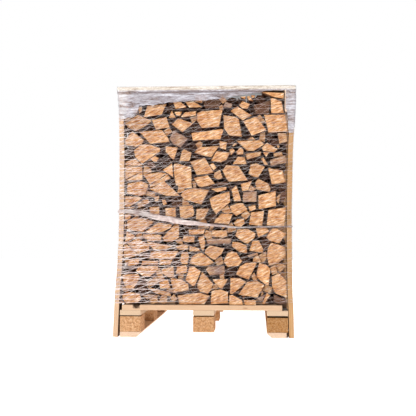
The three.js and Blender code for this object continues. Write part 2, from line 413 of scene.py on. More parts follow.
def plank(node, spine, wide_way, size, material, slot, seed, rounding=1.5 * MM, trim=None, tone=1.0):
    """A sawn board: a rounded rectangle carried along a spine of points from end to end. Its ends are
    drawn in by a millimetre for a worn edge. The grain coordinate runs along the board from a pith that
    lies outside it, so the faces show long flames and the ends show arcs."""
    random = np.random.default_rng(seed)
    width, thick = size
    outline = rounded_outline(width, thick, rounding, 0.12 * MM, random)
    along = np.diff(spine, axis=0)
    along = np.vstack([along, along[-1:]])
    along /= np.linalg.norm(along, axis=1, keepdims=True)
    wide = np.asarray(wide_way, float)
    thin = np.cross(along, wide)
    line = np.concatenate([
        spine[:1], spine[:1] + along[:1] * MM, spine[1:-1], spine[-1:] - along[-1:] * MM, spine[-1:],
    ])
    thin_way = np.concatenate([thin[:1], thin[:1], thin[1:-1], thin[-1:], thin[-1:]])
    fit = np.ones(len(line))
    fit[[0, -1]] = 1 - 1.4 * MM / thick
    rough = np.minimum(1 + random.normal(0, 0.004, (len(line), len(outline))), 1.0)
    u = outline[None, :, 0] * (1 - (1 - fit[:, None]) * thick / width) * rough
    v = outline[None, :, 1] * fit[:, None] * rough
    whole = line[:, None] + u[..., None] * wide + v[..., None] * thin_way[:, None]
    length = np.concatenate([[0], np.cumsum(np.linalg.norm(np.diff(line, axis=0), axis=1))])
    pith = np.array([random.uniform(-0.3, 0.3) * width, random.uniform(0.6, 1.8) * width])
    grain = np.stack([
        np.broadcast_to(length[:, None] + random.uniform(0, 50), u.shape), u - pith[0], v - pith[1],
    ], -1)
    points = trim(whole.copy()) if trim else whole
    dirt = np.clip(dirt_on(node, points, whole, line, thick), 0, 1)
    return make_piece(
        node + "_sawn", points.reshape(-1, 3), tube_faces(1, len(line), len(outline)), material, slot, [node],
        grain=grain.reshape(-1, 3), dirt=dirt.ravel(), tone=np.full(dirt.size, tone),
    )


# Dark brown bands on single boards, painted shadows of the logs and of the gathered band that lie over the
# right post, and scuffs: the level, the half height, and how strong
SHADOWS_AND_SCUFFS = {
    "post_right_front": [(0.575, 0.035, 0.45), (0.822, 0.014, 0.5), (0.525, 0.006, 0.8), (0.30, 0.03, 0.15)],
    "post_left_front": [(0.30, 0.02, 0.12)],
}


def dirt_on(node, points, whole, line, thick):
    """How dark each point of a board is painted: round the V broken out of the front deck board, painted
    shade on the ends and faces that look into the gaps beside the load, and the listed painted shadows and
    scuffs.
    whole holds the points before the board was trimmed, and line is its middle."""
    x, y, z = points[..., 0], points[..., 1], points[..., 2]
    from_end = y - line[0, 1]
    dirt = np.zeros(x.shape)
    for level, half, strength in SHADOWS_AND_SCUFFS.get(node, []):
        dirt = dirt + strength * np.exp(-((z - level) / half) ** 2)
    if node == "deck_board_1":
        broken = np.clip(np.linalg.norm(points - whole, axis=2) / (2 * MM), 0, 1)
        dirt = dirt + broken + (np.abs(x - NOTCH_X) < 16 * MM) * (y < -0.54) * (z > 0.136)
    # painted shade: the back deck board's end, the right stringer's top and the right skid's end lie in the
    # shade beside the right post, and the posts' inner faces look into the gaps beside the logs
    if node == "deck_board_2":
        dirt = dirt + (x > 0.355)
    if node == "stringer_right":
        dirt = dirt + (x > 0.366) * (z > 0.12) * (from_end > 2 * MM)
    if node == "skid_right":
        dirt = dirt + (x > 0.38) * (from_end > 12 * MM) * (y < -0.57)
    if node == "post_left_front":
        dirt = dirt + (x > (line[:, 0] + thick / 2 - 0.3 * MM)[:, None])
    if node == "post_right_front":
        dirt = dirt + 0.9 * (x < (line[:, 0] - thick / 2 + 0.3 * MM)[:, None])
    return dirt


def straight_spine(low, high, axis, steps):
    """Points down the middle of a box, from one end to the other along the axis."""
    line = np.repeat((low + high)[None] / 2, steps, 0)
    line[:, axis] = np.linspace(low[axis], high[axis], steps)
    return line


def box_arrays(node):
    low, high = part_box(node)
    return np.array(low, float), np.array(high, float)


# The V broken out of the front deck board's top edge: its middle, how far back it reaches, and its foot
NOTCH_X = -0.325
NOTCH_BACK = -0.568
NOTCH_FOOT = 0.134


def notch_in_front(points):
    """Lowers the top of the front deck board to the V, which rises 19.2 mm over 18 mm to either side."""
    x, y, z = points[..., 0], points[..., 1], points[..., 2]
    line = NOTCH_FOOT + 19.2 / 18 * np.abs(x - NOTCH_X)
    points[..., 2] = np.where(y < NOTCH_BACK, np.minimum(z, line), z)
    return points


def skid_corners(node):
    """The trim of one skid: its lower inner corner is lifted along a straight cut, from 16 mm in to 20 mm
    up, and the right one has 11 mm split off its outer edge for 18 mm at the front."""
    low, high = box_arrays(node)
    inner = high[0] if node == "skid_left" else low[0]

    def trim(points):
        inside = np.clip(16 * MM - np.abs(inner - points[..., 0]), 0, None)
        points[..., 2] = np.maximum(points[..., 2], low[2] + inside * 20 / 16)
        if node == "skid_right":
            split = points[..., 1] < low[1] + 18 * MM
            points[..., 0] = np.where(split, np.minimum(points[..., 0], high[0] - 11 * MM), points[..., 0])
        return points
    return trim


# Straight boards: the start of the name, the axes of the length and the width, a seed, the shade and
# whether the wood is fresh
BOARDS = [
    ("deck_board_", 0, 1, 100, 0.9, False),
    ("stringer_", 1, 0, 120, 0.92, True),
    ("crossbar_", 0, 1, 130, 1.0, True),
    ("rail_", 1, 2, 140, 1.0, False),
    ("skid_", 1, 0, 150, 1.0, False),
]
STATIONS = 24               # places along a plain board
TRIMMED_STATIONS = 140      # places along a board that is trimmed


def add_boards(wood, fresh_wood):
    """Every sawn piece of the pallet and its side frame, each in place of its own plain solid."""
    for start, length_axis, width_axis, seed, tone, fresh in BOARDS:
        for index, node in enumerate(sorted(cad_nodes(start))):
            low, high = box_arrays(node)
            extent = high - low
            trim = notch_in_front if node == "deck_board_1" else None
            if start == "skid_":
                trim = skid_corners(node)
            spine = straight_spine(low, high, length_axis, TRIMMED_STATIONS if trim else STATIONS)
            size = (extent[width_axis], extent[3 - length_axis - width_axis])
            plank(node, spine, np.eye(3)[width_axis], size, fresh_wood if fresh else wood,
                  "fresh_spruce" if fresh else "sawn_spruce", seed + index, trim=trim, tone=tone)
    for index, node in enumerate(sorted(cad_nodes("post_"))):
        add_post(node, wood, 160 + index)


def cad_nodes(start):
    return [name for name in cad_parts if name.startswith(start)]


# The bow of the side posts: (level, outer face) in millimetres, from the ground up
LEFT_BOW = [(0, -438), (204, -429.5), (323, -418.5), (466, -411), (640, -408), (894, -408.5), (1177, -413)]
RIGHT_BOW = [(0, 424), (153, 421), (190, 417.5), (323, 415), (608, 414), (894, 420.7), (1000, 427),
             (1177, 433)]


def bow(side, level):
    """The outer face of the side posts at each level, in straight lines between the listed places."""
    table = np.array(LEFT_BOW if side < 0 else RIGHT_BOW) * MM
    return np.interp(level, table[:, 0], table[:, 1])


def add_post(node, wood, seed):
    """A side post, 24 mm thick, carried up along its bow, its foot chewed a little round."""
    low, high = box_arrays(node)
    side = -1 if "left" in node else 1
    levels = np.linspace(low[2], high[2], 40)
    x = bow(side, levels) - side * 12 * MM
    spine = np.stack([x, np.full(40, (low[1] + high[1]) / 2), levels], -1)
    plank(node, spine, (0, 1, 0), (high[1] - low[1], 23.6 * MM), wood, "sawn_spruce", seed,
          rounding=2 * MM, tone=0.9 if side < 0 else 0.73)


# The shade of the chipboard blocks under each runner, and how far their tops crumble away at the ends
BLOCK_LOOKS = {"left": (0.88, 4 * MM), "middle": (0.82, 4 * MM), "right": (0.63, 8 * MM)}


def add_blocks(chipboard):
    """Pressed blocks: a rounded outline carried from front to back through 18 stations, its faces crumbly
    by half a millimetre and its top worn down towards the front, with painted shade on the lowered top."""
    for index, node in enumerate(sorted(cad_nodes("block_"))):
        low, high = box_arrays(node)
        random = np.random.default_rng(200 + index)
        outline = rounded_outline(high[0] - low[0], high[2] - low[2], 2.5 * MM, 0.25 * MM, random)
        places = np.linspace(low[1], high[1], 16)
        places = np.insert(places, [1, 15], [low[1] + 1.5 * MM, high[1] - 1.5 * MM])
        fit = np.ones(len(places))
        fit[[0, -1]] = 0.975
        rough = 1 - np.abs(random.normal(0, 0.004, (len(places), len(outline))))
        middle = (low + high) / 2
        points = np.empty((len(places), len(outline), 3))
        points[..., 0] = middle[0] + outline[:, 0] * fit[:, None] * rough
        points[..., 1] = places[:, None]
        points[..., 2] = middle[2] + outline[:, 1] * fit[:, None] * rough
        worn = np.clip(1 - np.abs(places - low[1]) / 0.09, 0, 1)[:, None] ** 0.4
        tone, gap = BLOCK_LOOKS[node.split("_")[1]]
        points[..., 2] -= (outline[:, 1] > 20 * MM) * worn * gap
        # painted shade on the lowered top at the front, carried in the tone attribute
        shadow = (outline[:, 1] > outline[:, 1].max() - 1.2 * MM) * worn
        shadow[0] = 0
        faces = reverse(tube_faces(1, len(places), len(outline)))
        make_piece(node + "_pressed", points.reshape(-1, 3), faces, chipboard, "chipboard", [node],
                   tone=(tone * (1 - 0.8 * shadow)).ravel())


def reverse(faces):
    """The same faces, turned over."""
    return [f[:, ::-1] for f in faces]


# ---------------------------------------------------------------- split logs

# Ends of the logs that lie in the front of the first row: the corners (x, z) in centimetres of each, and
# the shade of those that differ from plain tan
FRONT_LOGS = [
    # top left
    ((-38, 102.3), (-32.3, 106.5), (-29.8, 105), (-25.3, 103.6), (-27.9, 101.4), (-33, 98.5),
     (-36.6, 100.2), "mid"),
    ((-27.7, 110.8), (-18.5, 111.4), (-20.6, 106.5), (-29.3, 105.2)),
    ((-25.5, 103.8), (-18.5, 105.3), (-16.8, 100.4), (-23.6, 99.1)),
    ((-31.5, 98.2), (-20.4, 98.9), (-17.5, 95.1), (-16.8, 93.2), (-26, 92.3)),
    ((-35, 98.3), (-29.4, 94), (-30.5, 92.2), (-33.2, 90.8), (-38.2, 91.9), (-38.3, 94.3)),
    ((-32.1, 110.3), (-30.2, 110.3), (-30.4, 108), (-31.5, 107)),
    # top middle
    ((-15.1, 112.5), (-11.3, 112.5), (-8.7, 109.9), (-14, 109.1)),
    ((-9.3, 112.5), (-5.3, 112.7), (-1.1, 109.9), (-7.4, 109.7)),
    ((-17.2, 104.8), (-15.7, 108.2), (-13.8, 104.8)),
    ((-14.6, 107.8), (-10.8, 107.8), (-11.9, 105.7), (-13.8, 106.1), "pale"),
    ((-11.5, 105.3), (-9.3, 107.4), (-3.9, 107.9), (-4.2, 105.9), (-10, 105)),
    ((-15.7, 101.6), (-12.5, 104.6), (-5.5, 101.9), (-10.6, 97.8)),
    ((-3.6, 107), (-1.1, 108), (8.7, 108.4), (7, 100.4), (-1.3, 99.7), (-4, 103.6)),
    ((9, 105.9), (9.4, 99.5), (11.7, 96.1), (17.9, 95.5), (16.5, 103.8), (14.8, 105)),
    ((-6.4, 97.4), (8.3, 99.3), (9.1, 98.7), (7.6, 94.4), (-5.7, 93.8), "pale"),
    ((-17, 94.6), (-14.9, 98.7), (-7.9, 94.8), (-11.5, 90.4), (-14.7, 91.9), "grey"),
    ((-0.9, 113.1), (6.6, 113.5), (8.2, 112), (6.2, 109.5), (0.2, 109.3), "dark"),
    ((8.9, 109.9), (10, 112.3), (13.2, 111.2), (12.9, 109.3), "grey"),
    # top right
    ((27.3, 117.2), (38, 116.5), (37.7, 113.9), (33.2, 114.6)),
    ((32, 113.7), (32.8, 114.1), (37.3, 112.3), (38.4, 106.6), (32.2, 106.7)),
    ((28.4, 105.9), (38.5, 105.9), (39.6, 97.8), (30.5, 97.4)),
    ((18.4, 102.9), (24.7, 105), (29.6, 98.5), (22.6, 95.9)),
    ((12.4, 108), (15.8, 110.1), (22.6, 105.7), (18.2, 103.3)),
    ((16.5, 110.6), (18.2, 112.7), (21.8, 111.2), (20.5, 108.9), (18, 109.1)),
    ((23.4, 110.8), (31.5, 112.9), (30.7, 106.4), (24.5, 106.4), "dark"),
    ((20.1, 114.8), (21.3, 115.2), (23.3, 112.5), (21.1, 113)),
    ((17.1, 114.6), (19.7, 114.8), (19.4, 113.3)),
    ((22.2, 115.4), (24.1, 115.4), (23.9, 114.2), (22.6, 114)),
    ((34.9, 97), (38.8, 97), (39.5, 92.9), (35.6, 92.1), "mid"),
    ((15.2, 93.5), (26.7, 93.7), (28.6, 91.8), (23.5, 88.6), (20.1, 88.8), (18.2, 90.9)),
    ((20.5, 94.2), (22.8, 95.5), (24.3, 94.1)),
    # upper left
    ((-33.6, 88.6), (-30.2, 91.6), (-26, 91.6), (-20.9, 89.7), (-21.1, 88.2), (-29.8, 82.2), (-33, 85.5)),
    ((-26.4, 85.8), (-23.8, 86.7), (-22.1, 85.6), (-23.2, 83.9), (-24.9, 84.1), "pale"),
    ((-27, 84.6), (-24, 83), (-23.8, 81.4), (-26, 80.5), (-27.9, 82.2), "dark"),
    ((-18.7, 91.1), (-12.8, 90.5), (-14.5, 84.8), (-15.3, 84.8), (-18.7, 88.4)),
    ((-38, 83.9), (-33.4, 85.3), (-30, 81.9), (-38, 82)),
    ((-38, 81.6), (-30.2, 81.4), (-30, 79.3), (-38, 75.2)),
    ((-37.6, 74.8), (-29.9, 79), (-29.8, 75)),
    ((-29.4, 77.6), (-22, 78.6), (-18.1, 78), (-22.1, 75), (-26.4, 72.9)),
    ((-20, 79.9), (-15.6, 82.9), (-15, 76.3), (-19.6, 79.3), "pale"),
    ((-36.6, 73.3), (-30.2, 74.4), (-26.8, 72.8), (-28.3, 67.8), (-31.5, 67.2), (-37, 68.6)),
    ((-38.3, 67.2), (-31.9, 67), (-30.6, 66.1), (-36.6, 61.9), (-38.3, 62.3)),
    ((-26.6, 70.8), (-19.4, 74.6), (-11.9, 67.8), (-18.5, 67.6), (-24.3, 69.7)),
    ((-26.3, 72.4), (-20.6, 75.8), (-17.6, 77.6), (-16.2, 75.4), (-19.4, 75), (-26, 71.2)),
    ((-20.5, 65.4), (-18.8, 65.6), (-18, 63.4), (-19.8, 62.8)),
    ((-24, 67.2), (-21.7, 67.2), (-22.1, 64.8), (-23.8, 64.8)),
    ((-29.6, 65.2), (-26.8, 65.7), (-26.6, 64), (-28.9, 62.9)),
    # upper middle
    ((-10, 89.7), (-6.2, 88), (-7, 84.6), (-7.6, 84), (-12.1, 84), (-10.8, 88.8), "mid"),
    ((-3.2, 90.7), (7, 91.1), (3.2, 85.8), (-1.3, 86.7), (-4.9, 88)),
    ((7.2, 93.5), (10.8, 92.9), (10.2, 89.2), (7.2, 90.1)),
    ((6.4, 88.8), (12.9, 87.8), (11, 84.4), (8.3, 83.3), (3.6, 84.4)),
    ((-7, 83.7), (0.2, 85.6), (4.5, 78.6), (1.5, 77.8), (-3.6, 77.3)),
    ((-5.3, 75.9), (1.7, 77.1), (5.1, 72.9), (-1.3, 71.4), (-3.2, 71.9)),
    ((-14.7, 82.7), (-13, 82.9), (-6.4, 81), (-6.1, 71), (-10, 70.9), (-13.8, 72.5), (-14.9, 79.3)),
    ((-11.5, 67.8), (-9.6, 70.1), (-4.5, 71), (2.3, 70.1), (0.6, 66.9), (-1.5, 63.1), (-10, 65.7)),
    ((2.3, 65.9), (5.5, 67.6), (11.9, 69.3), (12.3, 64.4), (5.5, 58.4), (3.4, 61.5)),
    ((3.2, 70.5), (10.6, 71.6), (10.4, 70.2), (6.2, 69)),
    ((5.7, 73.9), (11.5, 74), (10.4, 72.4), (6.2, 72.3), "dark"),
    ((4.7, 78.4), (7.4, 79.7), (8.7, 75.9), (6.6, 75), (4.4, 76.1), "mid"),
    ((2.5, 82.2), (4, 82.9), (5.7, 80.7), (4.4, 79.5), (2.8, 81), "pale"),
    ((8.5, 79.3), (10.4, 82), (16.3, 81.4), (20.7, 74.6), (11.7, 73.9), (10.4, 75.4)),
    # upper right
    ((29.8, 92.6), (34.9, 89.4), (33.2, 88), (27.9, 88.7), (27.3, 90.3)),
    ((27.9, 88), (31, 88), (29.4, 85.8)),
    ((31.3, 84.4), (35.8, 85.6), (38.5, 86.6), (39, 82.9), (31.5, 81.6), "grey"),
    ((30.3, 80.5), (32.8, 79.9), (37.3, 79.3), (38.8, 73.5), (32, 72.7)),
    ((22, 82.2), (24.7, 82.7), (28.8, 81), (25.6, 75.9), (22.6, 76.5), (20.9, 77.8), "mid"),
    ((26.9, 84.8), (28.1, 85.6), (30.3, 82), (28.8, 81.8)),
    ((25.6, 75.4), (30.3, 73.1), (31.5, 70.6), (30.9, 69), (24.7, 70.3), (24.1, 73.5), "mid"),
    ((18.4, 69), (25, 69.4), (24.7, 64.4), (18.2, 64.4), "grey"),
    ((25.6, 67.4), (29.6, 68.4), (33.9, 69.6), (34, 62.3), (25.8, 60.8)),
    ((12.9, 70.1), (15, 72.2), (16, 70.3), (17.5, 64.8), (14.1, 64.6)),
    ((17.3, 72.9), (22.6, 74.4), (20.9, 69.9), (18, 69.5)),
    ((15.2, 88.4), (17.1, 90.5), (18.6, 89.2), (18.6, 87.1), (15.6, 86.9)),
    ((13.3, 82.3), (16, 86), (19.2, 85.6), (20.1, 82.3)),
    ((19.4, 87.2), (27, 88.3), (26.7, 86.3), (20.1, 84.4), "mid"),
    ((36.2, 69.3), (38.8, 69.3), (38.8, 66.5), (36.2, 64), "dark"),
    ((11.6, 89.4), (13.1, 89.9), (14.1, 88.6), (12, 86.6)),
    ((13.3, 91.1), (14.3, 92.7), (15.6, 92), (13.7, 90.9)),
    # middle left
    ((-26.4, 62), (-21.7, 62.2), (-21.5, 57.1), (-26.2, 58.4)),
    ((-18.9, 61.5), (-13.9, 61.8), (-13.6, 57.1), (-18.7, 57.1)),
    ((-34, 61.1), (-27, 61.8), (-27.7, 60.1), (-31.3, 59.4), (-33.6, 60.1), "dark"),
    ((-38.2, 58.6), (-35.4, 58.4), (-35.7, 56.4), (-38, 55.6)),
    ((-38, 54.8), (-37.4, 54.8), (-37.3, 51.6), (-38, 51.2)),
    ((-33.6, 57.1), (-29.1, 56.7), (-24, 55), (-29.6, 50), (-35.7, 51), (-37, 52), (-36.8, 55.4)),
    ((-21.7, 54.5), (-15.5, 53.6), (-16.2, 52), (-20, 50.2), (-24.9, 49.4), (-29, 49.8), (-23.4, 53.7)),
    ((-14.9, 53), (-12.2, 53.6), (-12.2, 47.3), (-15.6, 45.4), (-19.5, 45.5), (-20.2, 47.3)),
    ((-29.6, 49), (-24.5, 48.9), (-20.6, 48.6), (-20.8, 46), (-26.4, 45.6), (-30, 47.6)),
    ((-36.6, 44.3), (-33.2, 46.8), (-31.5, 46.8), (-26.4, 44.1), (-26.4, 41.6), (-31.9, 39.4)),
    ((-38.9, 44.2), (-37.6, 44), (-32.4, 39), (-35.7, 37.8), (-39.1, 37.8)),
    ((-37, 50.2), (-33.6, 48.6), (-33.4, 47.3), (-36.1, 45.8), (-37.8, 45.4)),
    ((-28, 45.4), (-22.1, 44.4), (-15, 43.2), (-19.6, 41.6), (-24.7, 41.6), (-26.2, 44)),
    ((-25.7, 40.7), (-12.4, 41), (-14.5, 37.4), (-26.6, 37.2)),
    ((-35.9, 36.9), (-31.1, 37.2), (-31.6, 34.6), (-36.6, 33.6)),
    ((-29.8, 36.4), (-22.2, 36.2), (-22.3, 34.5), (-30.4, 34.4)),
    ((-21.6, 36.8), (-15.2, 36.9), (-16.4, 34.4), (-21.8, 34.3)),
    ((-30.6, 39.5), (-26.8, 39.9), (-27, 37.6), (-30.2, 37.6), "dark"),
    # middle
    ((-12.1, 62.2), (-5.7, 62.8), (-4.9, 59.4), (-5.3, 57.7), (-9.3, 56.2), (-11.7, 57.1)),
    ((-3.8, 61.1), (2.3, 61.3), (-0.2, 56), (-4.2, 56), "mid"),
    ((8.1, 58.8), (13.4, 58.6), (11.7, 53.7), (4.5, 54.3), (5.1, 56)),
    ((-7.6, 51.1), (0.2, 51.4), (-0.2, 49.1), (-7.4, 48.7)),
    ((3.6, 50.7), (10.8, 50.9), (11, 47.8), (8.7, 47.3), (3.6, 47.8)),
    ((-10, 48), (-4.7, 48), (-4.9, 45.2), (-9.3, 45.2), (-10.8, 45.8)),
    ((-3, 47.3), (-0.3, 48.6), (0.4, 44.8), (-0.6, 40.7), (-1.5, 41.8), (-2.3, 44.1)),
    ((0.8, 46.5), (4.5, 46.9), (13, 47), (12.3, 44.4), (1.3, 44.4), "grey"),
    ((2.5, 43.7), (9.5, 42.2), (8.1, 39.5), (5.1, 36.7), (3.4, 37.3), (0, 40.1), (0.6, 41.8)),
    ((-14.4, 43), (-10.4, 44.3), (-7.6, 43.7), (-7.9, 41.6), (-11.9, 41.4)),
    ((-7.2, 43.4), (-3, 42.4), (-1.9, 40.9), (-7.2, 40.7)),
    ((-10.8, 40.4), (-8.2, 40.6), (-7.4, 38.2), (-8.2, 34.6), (-10.6, 34.6), (-11.8, 36.6)),
    ((-4.5, 39.3), (-1.5, 40.3), (1.9, 37.8), (4.7, 35.4), (1.1, 33.9), (-3.2, 34), (-7.2, 35), (-6.2, 38)),
    ((8.9, 36.1), (10.8, 39.9), (13, 41), (15.4, 40.1), (18, 36.1), (16.2, 33.9), (11, 33.4)),
    # middle right
    ((12, 62.2), (15.8, 63.8), (18.2, 63.7), (20.5, 60.9), (18, 59.2), (15.2, 57.7), (12.9, 59.4)),
    ((20.8, 62.2), (24.1, 62.9), (24.6, 60.9), (22.2, 59.9), (21.4, 60.1)),
    ((22.2, 59.4), (28.4, 60.1), (27.5, 52.8), (21.1, 53.5)),
    ((30.7, 60.5), (39.1, 61.8), (38.1, 52.8), (29.8, 53.1), "pale"),
    ((13.9, 54.3), (15.6, 56.2), (19, 56.4), (19.2, 54.1), (17.5, 52.4), (14.8, 52.8)),
    ((15.8, 51.4), (20.5, 51.6), (24.3, 49.4), (23.9, 47.3), (20.5, 44.4), (18.4, 45.2), (14.6, 48.2)),
    ((24.5, 51.8), (29.4, 52.3), (30.9, 50.3), (30.1, 49.7), (26.9, 48.6), (25.6, 47.5), (24.7, 50.3)),
    ((31.5, 50.7), (32.8, 52), (34.5, 51.8), (39.2, 49.2), (35.8, 44.6), (30.9, 46), (29.6, 47.5)),
    ((22.8, 45.8), (25.8, 46), (28.1, 41.8), (27.7, 40.1), (21.3, 41.2)),
    ((13.3, 45.4), (16.3, 45.2), (20.3, 43.5), (20.3, 39.8), (16.5, 40.5), (12.9, 43.3)),
    ((31.8, 45), (34.9, 44.2), (38.3, 43.1), (39.1, 38.8), (35.4, 35.2), (30.9, 33.9), (29.9, 38.4),
     (30.3, 42.2)),
    ((20.1, 38.8), (25.2, 40.3), (25.6, 39.5), (21.4, 37.8), "grey"),
    # lower left
    ((-32.9, 31.4), (-31.4, 33.7), (-22.2, 34), (-22, 32.5), (-23.9, 30.5), (-26.3, 28.6), (-29.7, 29)),
    ((-39, 29.6), (-31.9, 30.1), (-30.7, 28.6), (-33.9, 22.8), (-36.8, 22.5), (-38.7, 26.7)),
    ((-20.7, 32.2), (-14.9, 33.7), (-14.4, 28.4), (-17.4, 28.4), (-20.3, 30.3)),
    ((-21.7, 25.7), (-17.6, 27.6), (-16.3, 23.3), (-21.2, 23), "pale"),
    ((-16.2, 28.1), (-10.7, 27.4), (-7.7, 25), (-7.5, 22.3), (-15, 20.9)),
    ((-39, 20.1), (-36.8, 21.6), (-30.9, 20.4), (-30.2, 18), (-31.9, 16.7), (-37.2, 16.2), (-39, 18.2)),
    ((-29.8, 19.6), (-26.6, 20.4), (-21.2, 19.6), (-27.5, 17.7), "grey"),
    ((-28, 24), (-23.9, 22.5), (-16.4, 21.1), (-15.9, 19.3), (-23.2, 20.6), "mid"),
    # lower middle
    ((-13.1, 33.9), (-8.8, 34.2), (-8.2, 33.2), (-8.5, 30.5), (-13.6, 30.1)),
    ((-7.3, 33.5), (-5.3, 33.7), (-1.7, 31.3), (-4.6, 24.5), (-5.6, 24.2), (-9.2, 27.1),
     (-8.2, 29.8), "pale"),
    ((-1.2, 31.3), (4.2, 25.4), (3.2, 22.6), (1.5, 20.6), (-2.2, 21.6), (-3.4, 23.3), (-3.6, 25.2)),
    ((0.5, 32.2), (1.7, 33.6), (9.5, 33.8), (9.7, 30.3), (2.5, 29.3), "grey"),
    ((3.9, 27.6), (11.2, 27.6), (8.5, 23), (7.3, 23.2), (4.4, 26.4)),
    ((-13.1, 19.6), (-2.4, 21), (2.7, 19.6), (0, 16), (-12.1, 15.8)),
    ((3.4, 22.1), (7.5, 22.8), (11.2, 21.4), (11.2, 16.7), (4.4, 16.5), (2.9, 16.2)),
    ((12.3, 28.2), (16.7, 28.2), (20, 26.4), (15.5, 22.3), (13.3, 20.6), (12.1, 20.6)),
    ((11.8, 20.1), (13.5, 20.1), (17.9, 17.7), (18.4, 16), (11.8, 16)),
    # lower right
    ((16.9, 33.7), (19.4, 35.4), (25.1, 35.6), (21, 27.3), (16.9, 28.8), (14.8, 29.8)),
    ((26, 35.6), (29.6, 34.4), (31.3, 32.5), (30.4, 24.7), (28.8, 25.2), (24.6, 28.6), (24.9, 31.5), "pale"),
    ((20.3, 26.4), (25.2, 26.7), (28.4, 24.8), (25.2, 18.9), (16.1, 20.3)),
    ((31.9, 28.8), (35.4, 30.6), (37.5, 28.4), (39.1, 26.7), (39.1, 18.9), (33.9, 20.8), (32.2, 23.8)),
    ((32.9, 20.2), (37.5, 18.2), (39.1, 17.2), (36.3, 15.8), (32.9, 17.2), "dark"),
    ((29.7, 21.3), (31.2, 19.9), (28.3, 16.2), (27.3, 16.4)),
    ((18.8, 17.6), (24.4, 17.6), (24.4, 15.8), (19.1, 15.8)),
    ((24.6, 18.4), (29.1, 20.4), (27.4, 17.4), "grey"),
]
# How bright the end of each shade is, how greyed it is and how much bark it shows
SHADES = {
    "plain": (0.53, 0.05, 0),
    "pale": (0.66, 0.0, 0),
    "mid": (0.42, 0.12, 0),
    "grey": (0.38, 0.75, 0),
    "dark": (0.05, 0.1, 0.75),
}
AT_FACE = (0.36, 0.1, 0)        # shade of small logs that fill a gap flush with the front
# the deep ones are dark and take the bark colour over their whole ends: painted shade of the deep gaps
DEEP_IN_SHADED = (0.04, 0.05, 0.85)    # and of those that lie deep in it
CORNERS = 8                 # corners that every outline is brought up to
LOAD_MIDDLE = 4 * MM        # the load's middle lies a little right of the pallet's


def rounded_hull(corners):
    """The corners in order round their convex hull, anticlockwise, brought up to eight by halving the
    longest edges."""
    points = sorted(set(map(tuple, corners)))
    chains = []
    for run in (points, points[::-1]):
        chain = []
        for p in run:
            while len(chain) > 1:
                (ax, ay), (bx, by) = chain[-2], chain[-1]
                if (bx - ax) * (p[1] - ay) - (by - ay) * (p[0] - ax) > 1e-9:
                    break
                chain.pop()
            chain.append(p)
        chains += chain[:-1]
    hull = np.array(chains, float)
    while len(hull) < CORNERS:
        edges = np.linalg.norm(np.roll(hull, -1, 0) - hull, axis=1)
        k = int(edges.argmax())
        hull = np.insert(hull, k + 1, (hull[k] + hull[(k + 1) % len(hull)]) / 2, 0)
    return hull[:CORNERS]


def random_outline(random):
    """One split log's end as a unit outline: a wedge, a block, a slab or a five-sided piece of a round
    trunk, with its corners knocked out of true."""
    kind = random.choice(["wedge", "block", "slab", "five", "half"], p=[0.26, 0.34, 0.16, 0.16, 0.08])
    if kind == "wedge":
        spread = random.uniform(0.55, 1.0)
        angles = np.array([-spread, -spread / 3, spread / 3, spread]) / 1.2
        arc = np.stack([np.cos(angles), np.sin(angles)], -1)
        corners = np.vstack([[[random.uniform(-0.25, 0.1), 0.0]], arc])
    elif kind == "half":
        angles = np.linspace(-1.3, 1.3, 6)
        corners = np.stack([np.cos(angles), np.sin(angles)], -1) * [0.75, 0.75]
    else:
        sides = {"block": 4, "slab": 4, "five": 5}[kind]
        angles = (np.arange(sides) + 0.5) / sides * 2 * math.pi + random.normal(0, 0.13, sides)
        stretch = {"block": (1, random.uniform(0.75, 1)), "slab": (1, 0.5), "five": (1, 0.9)}[kind]
        corners = np.stack([np.cos(angles), np.sin(angles)], -1) * stretch
        corners *= random.uniform(0.85, 1.1, (sides, 1))
    hull = rounded_hull(corners)
    return hull - hull.mean(0)


def placed(shapes, spots, turns, sizes):
    """World corners of every outline: turned, scaled and moved to its spot."""
    c, s = np.cos(turns)[:, None], np.sin(turns)[:, None]
    x, z = shapes[..., 0] * sizes[:, None], shapes[..., 1] * sizes[:, None]
    return np.stack([x * c - z * s, x * s + z * c], -1) + spots[:, None]


def deepest_overlap(first, second):
    """For pairs of convex outlines, the direction in which they overlap least, how deep they overlap,
    and the point where they touch. An edge's overlap is how far the other outline reaches behind it."""
    def one_way(a, b):
        edge = np.roll(a, -1, 1) - a
        length = np.linalg.norm(edge, axis=2, keepdims=True)
        normal = np.stack([edge[..., 1], -edge[..., 0]], -1) / np.maximum(length, 1e-9)
        reach = np.einsum("pkc,pmc->pkm", normal, b)
        depth = np.einsum("pkc,pkc->pk", normal, a) - reach.min(2)
        best = depth.argmin(1)
        row = np.arange(len(a))
        near = reach[row, best]
        weight = np.exp(-(near - near.min(1, keepdims=True)) / (1.5 * MM))
        touch = (weight[..., None] * b).sum(1) / weight.sum(1)[:, None]
        return depth[row, best], normal[row, best], touch
    da, na, ta = one_way(first, second)
    db, nb, tb = one_way(second, first)
    other = (db < da)[:, None]
    return np.minimum(da, db), np.where(other, -nb, na), np.where(other, tb, ta)


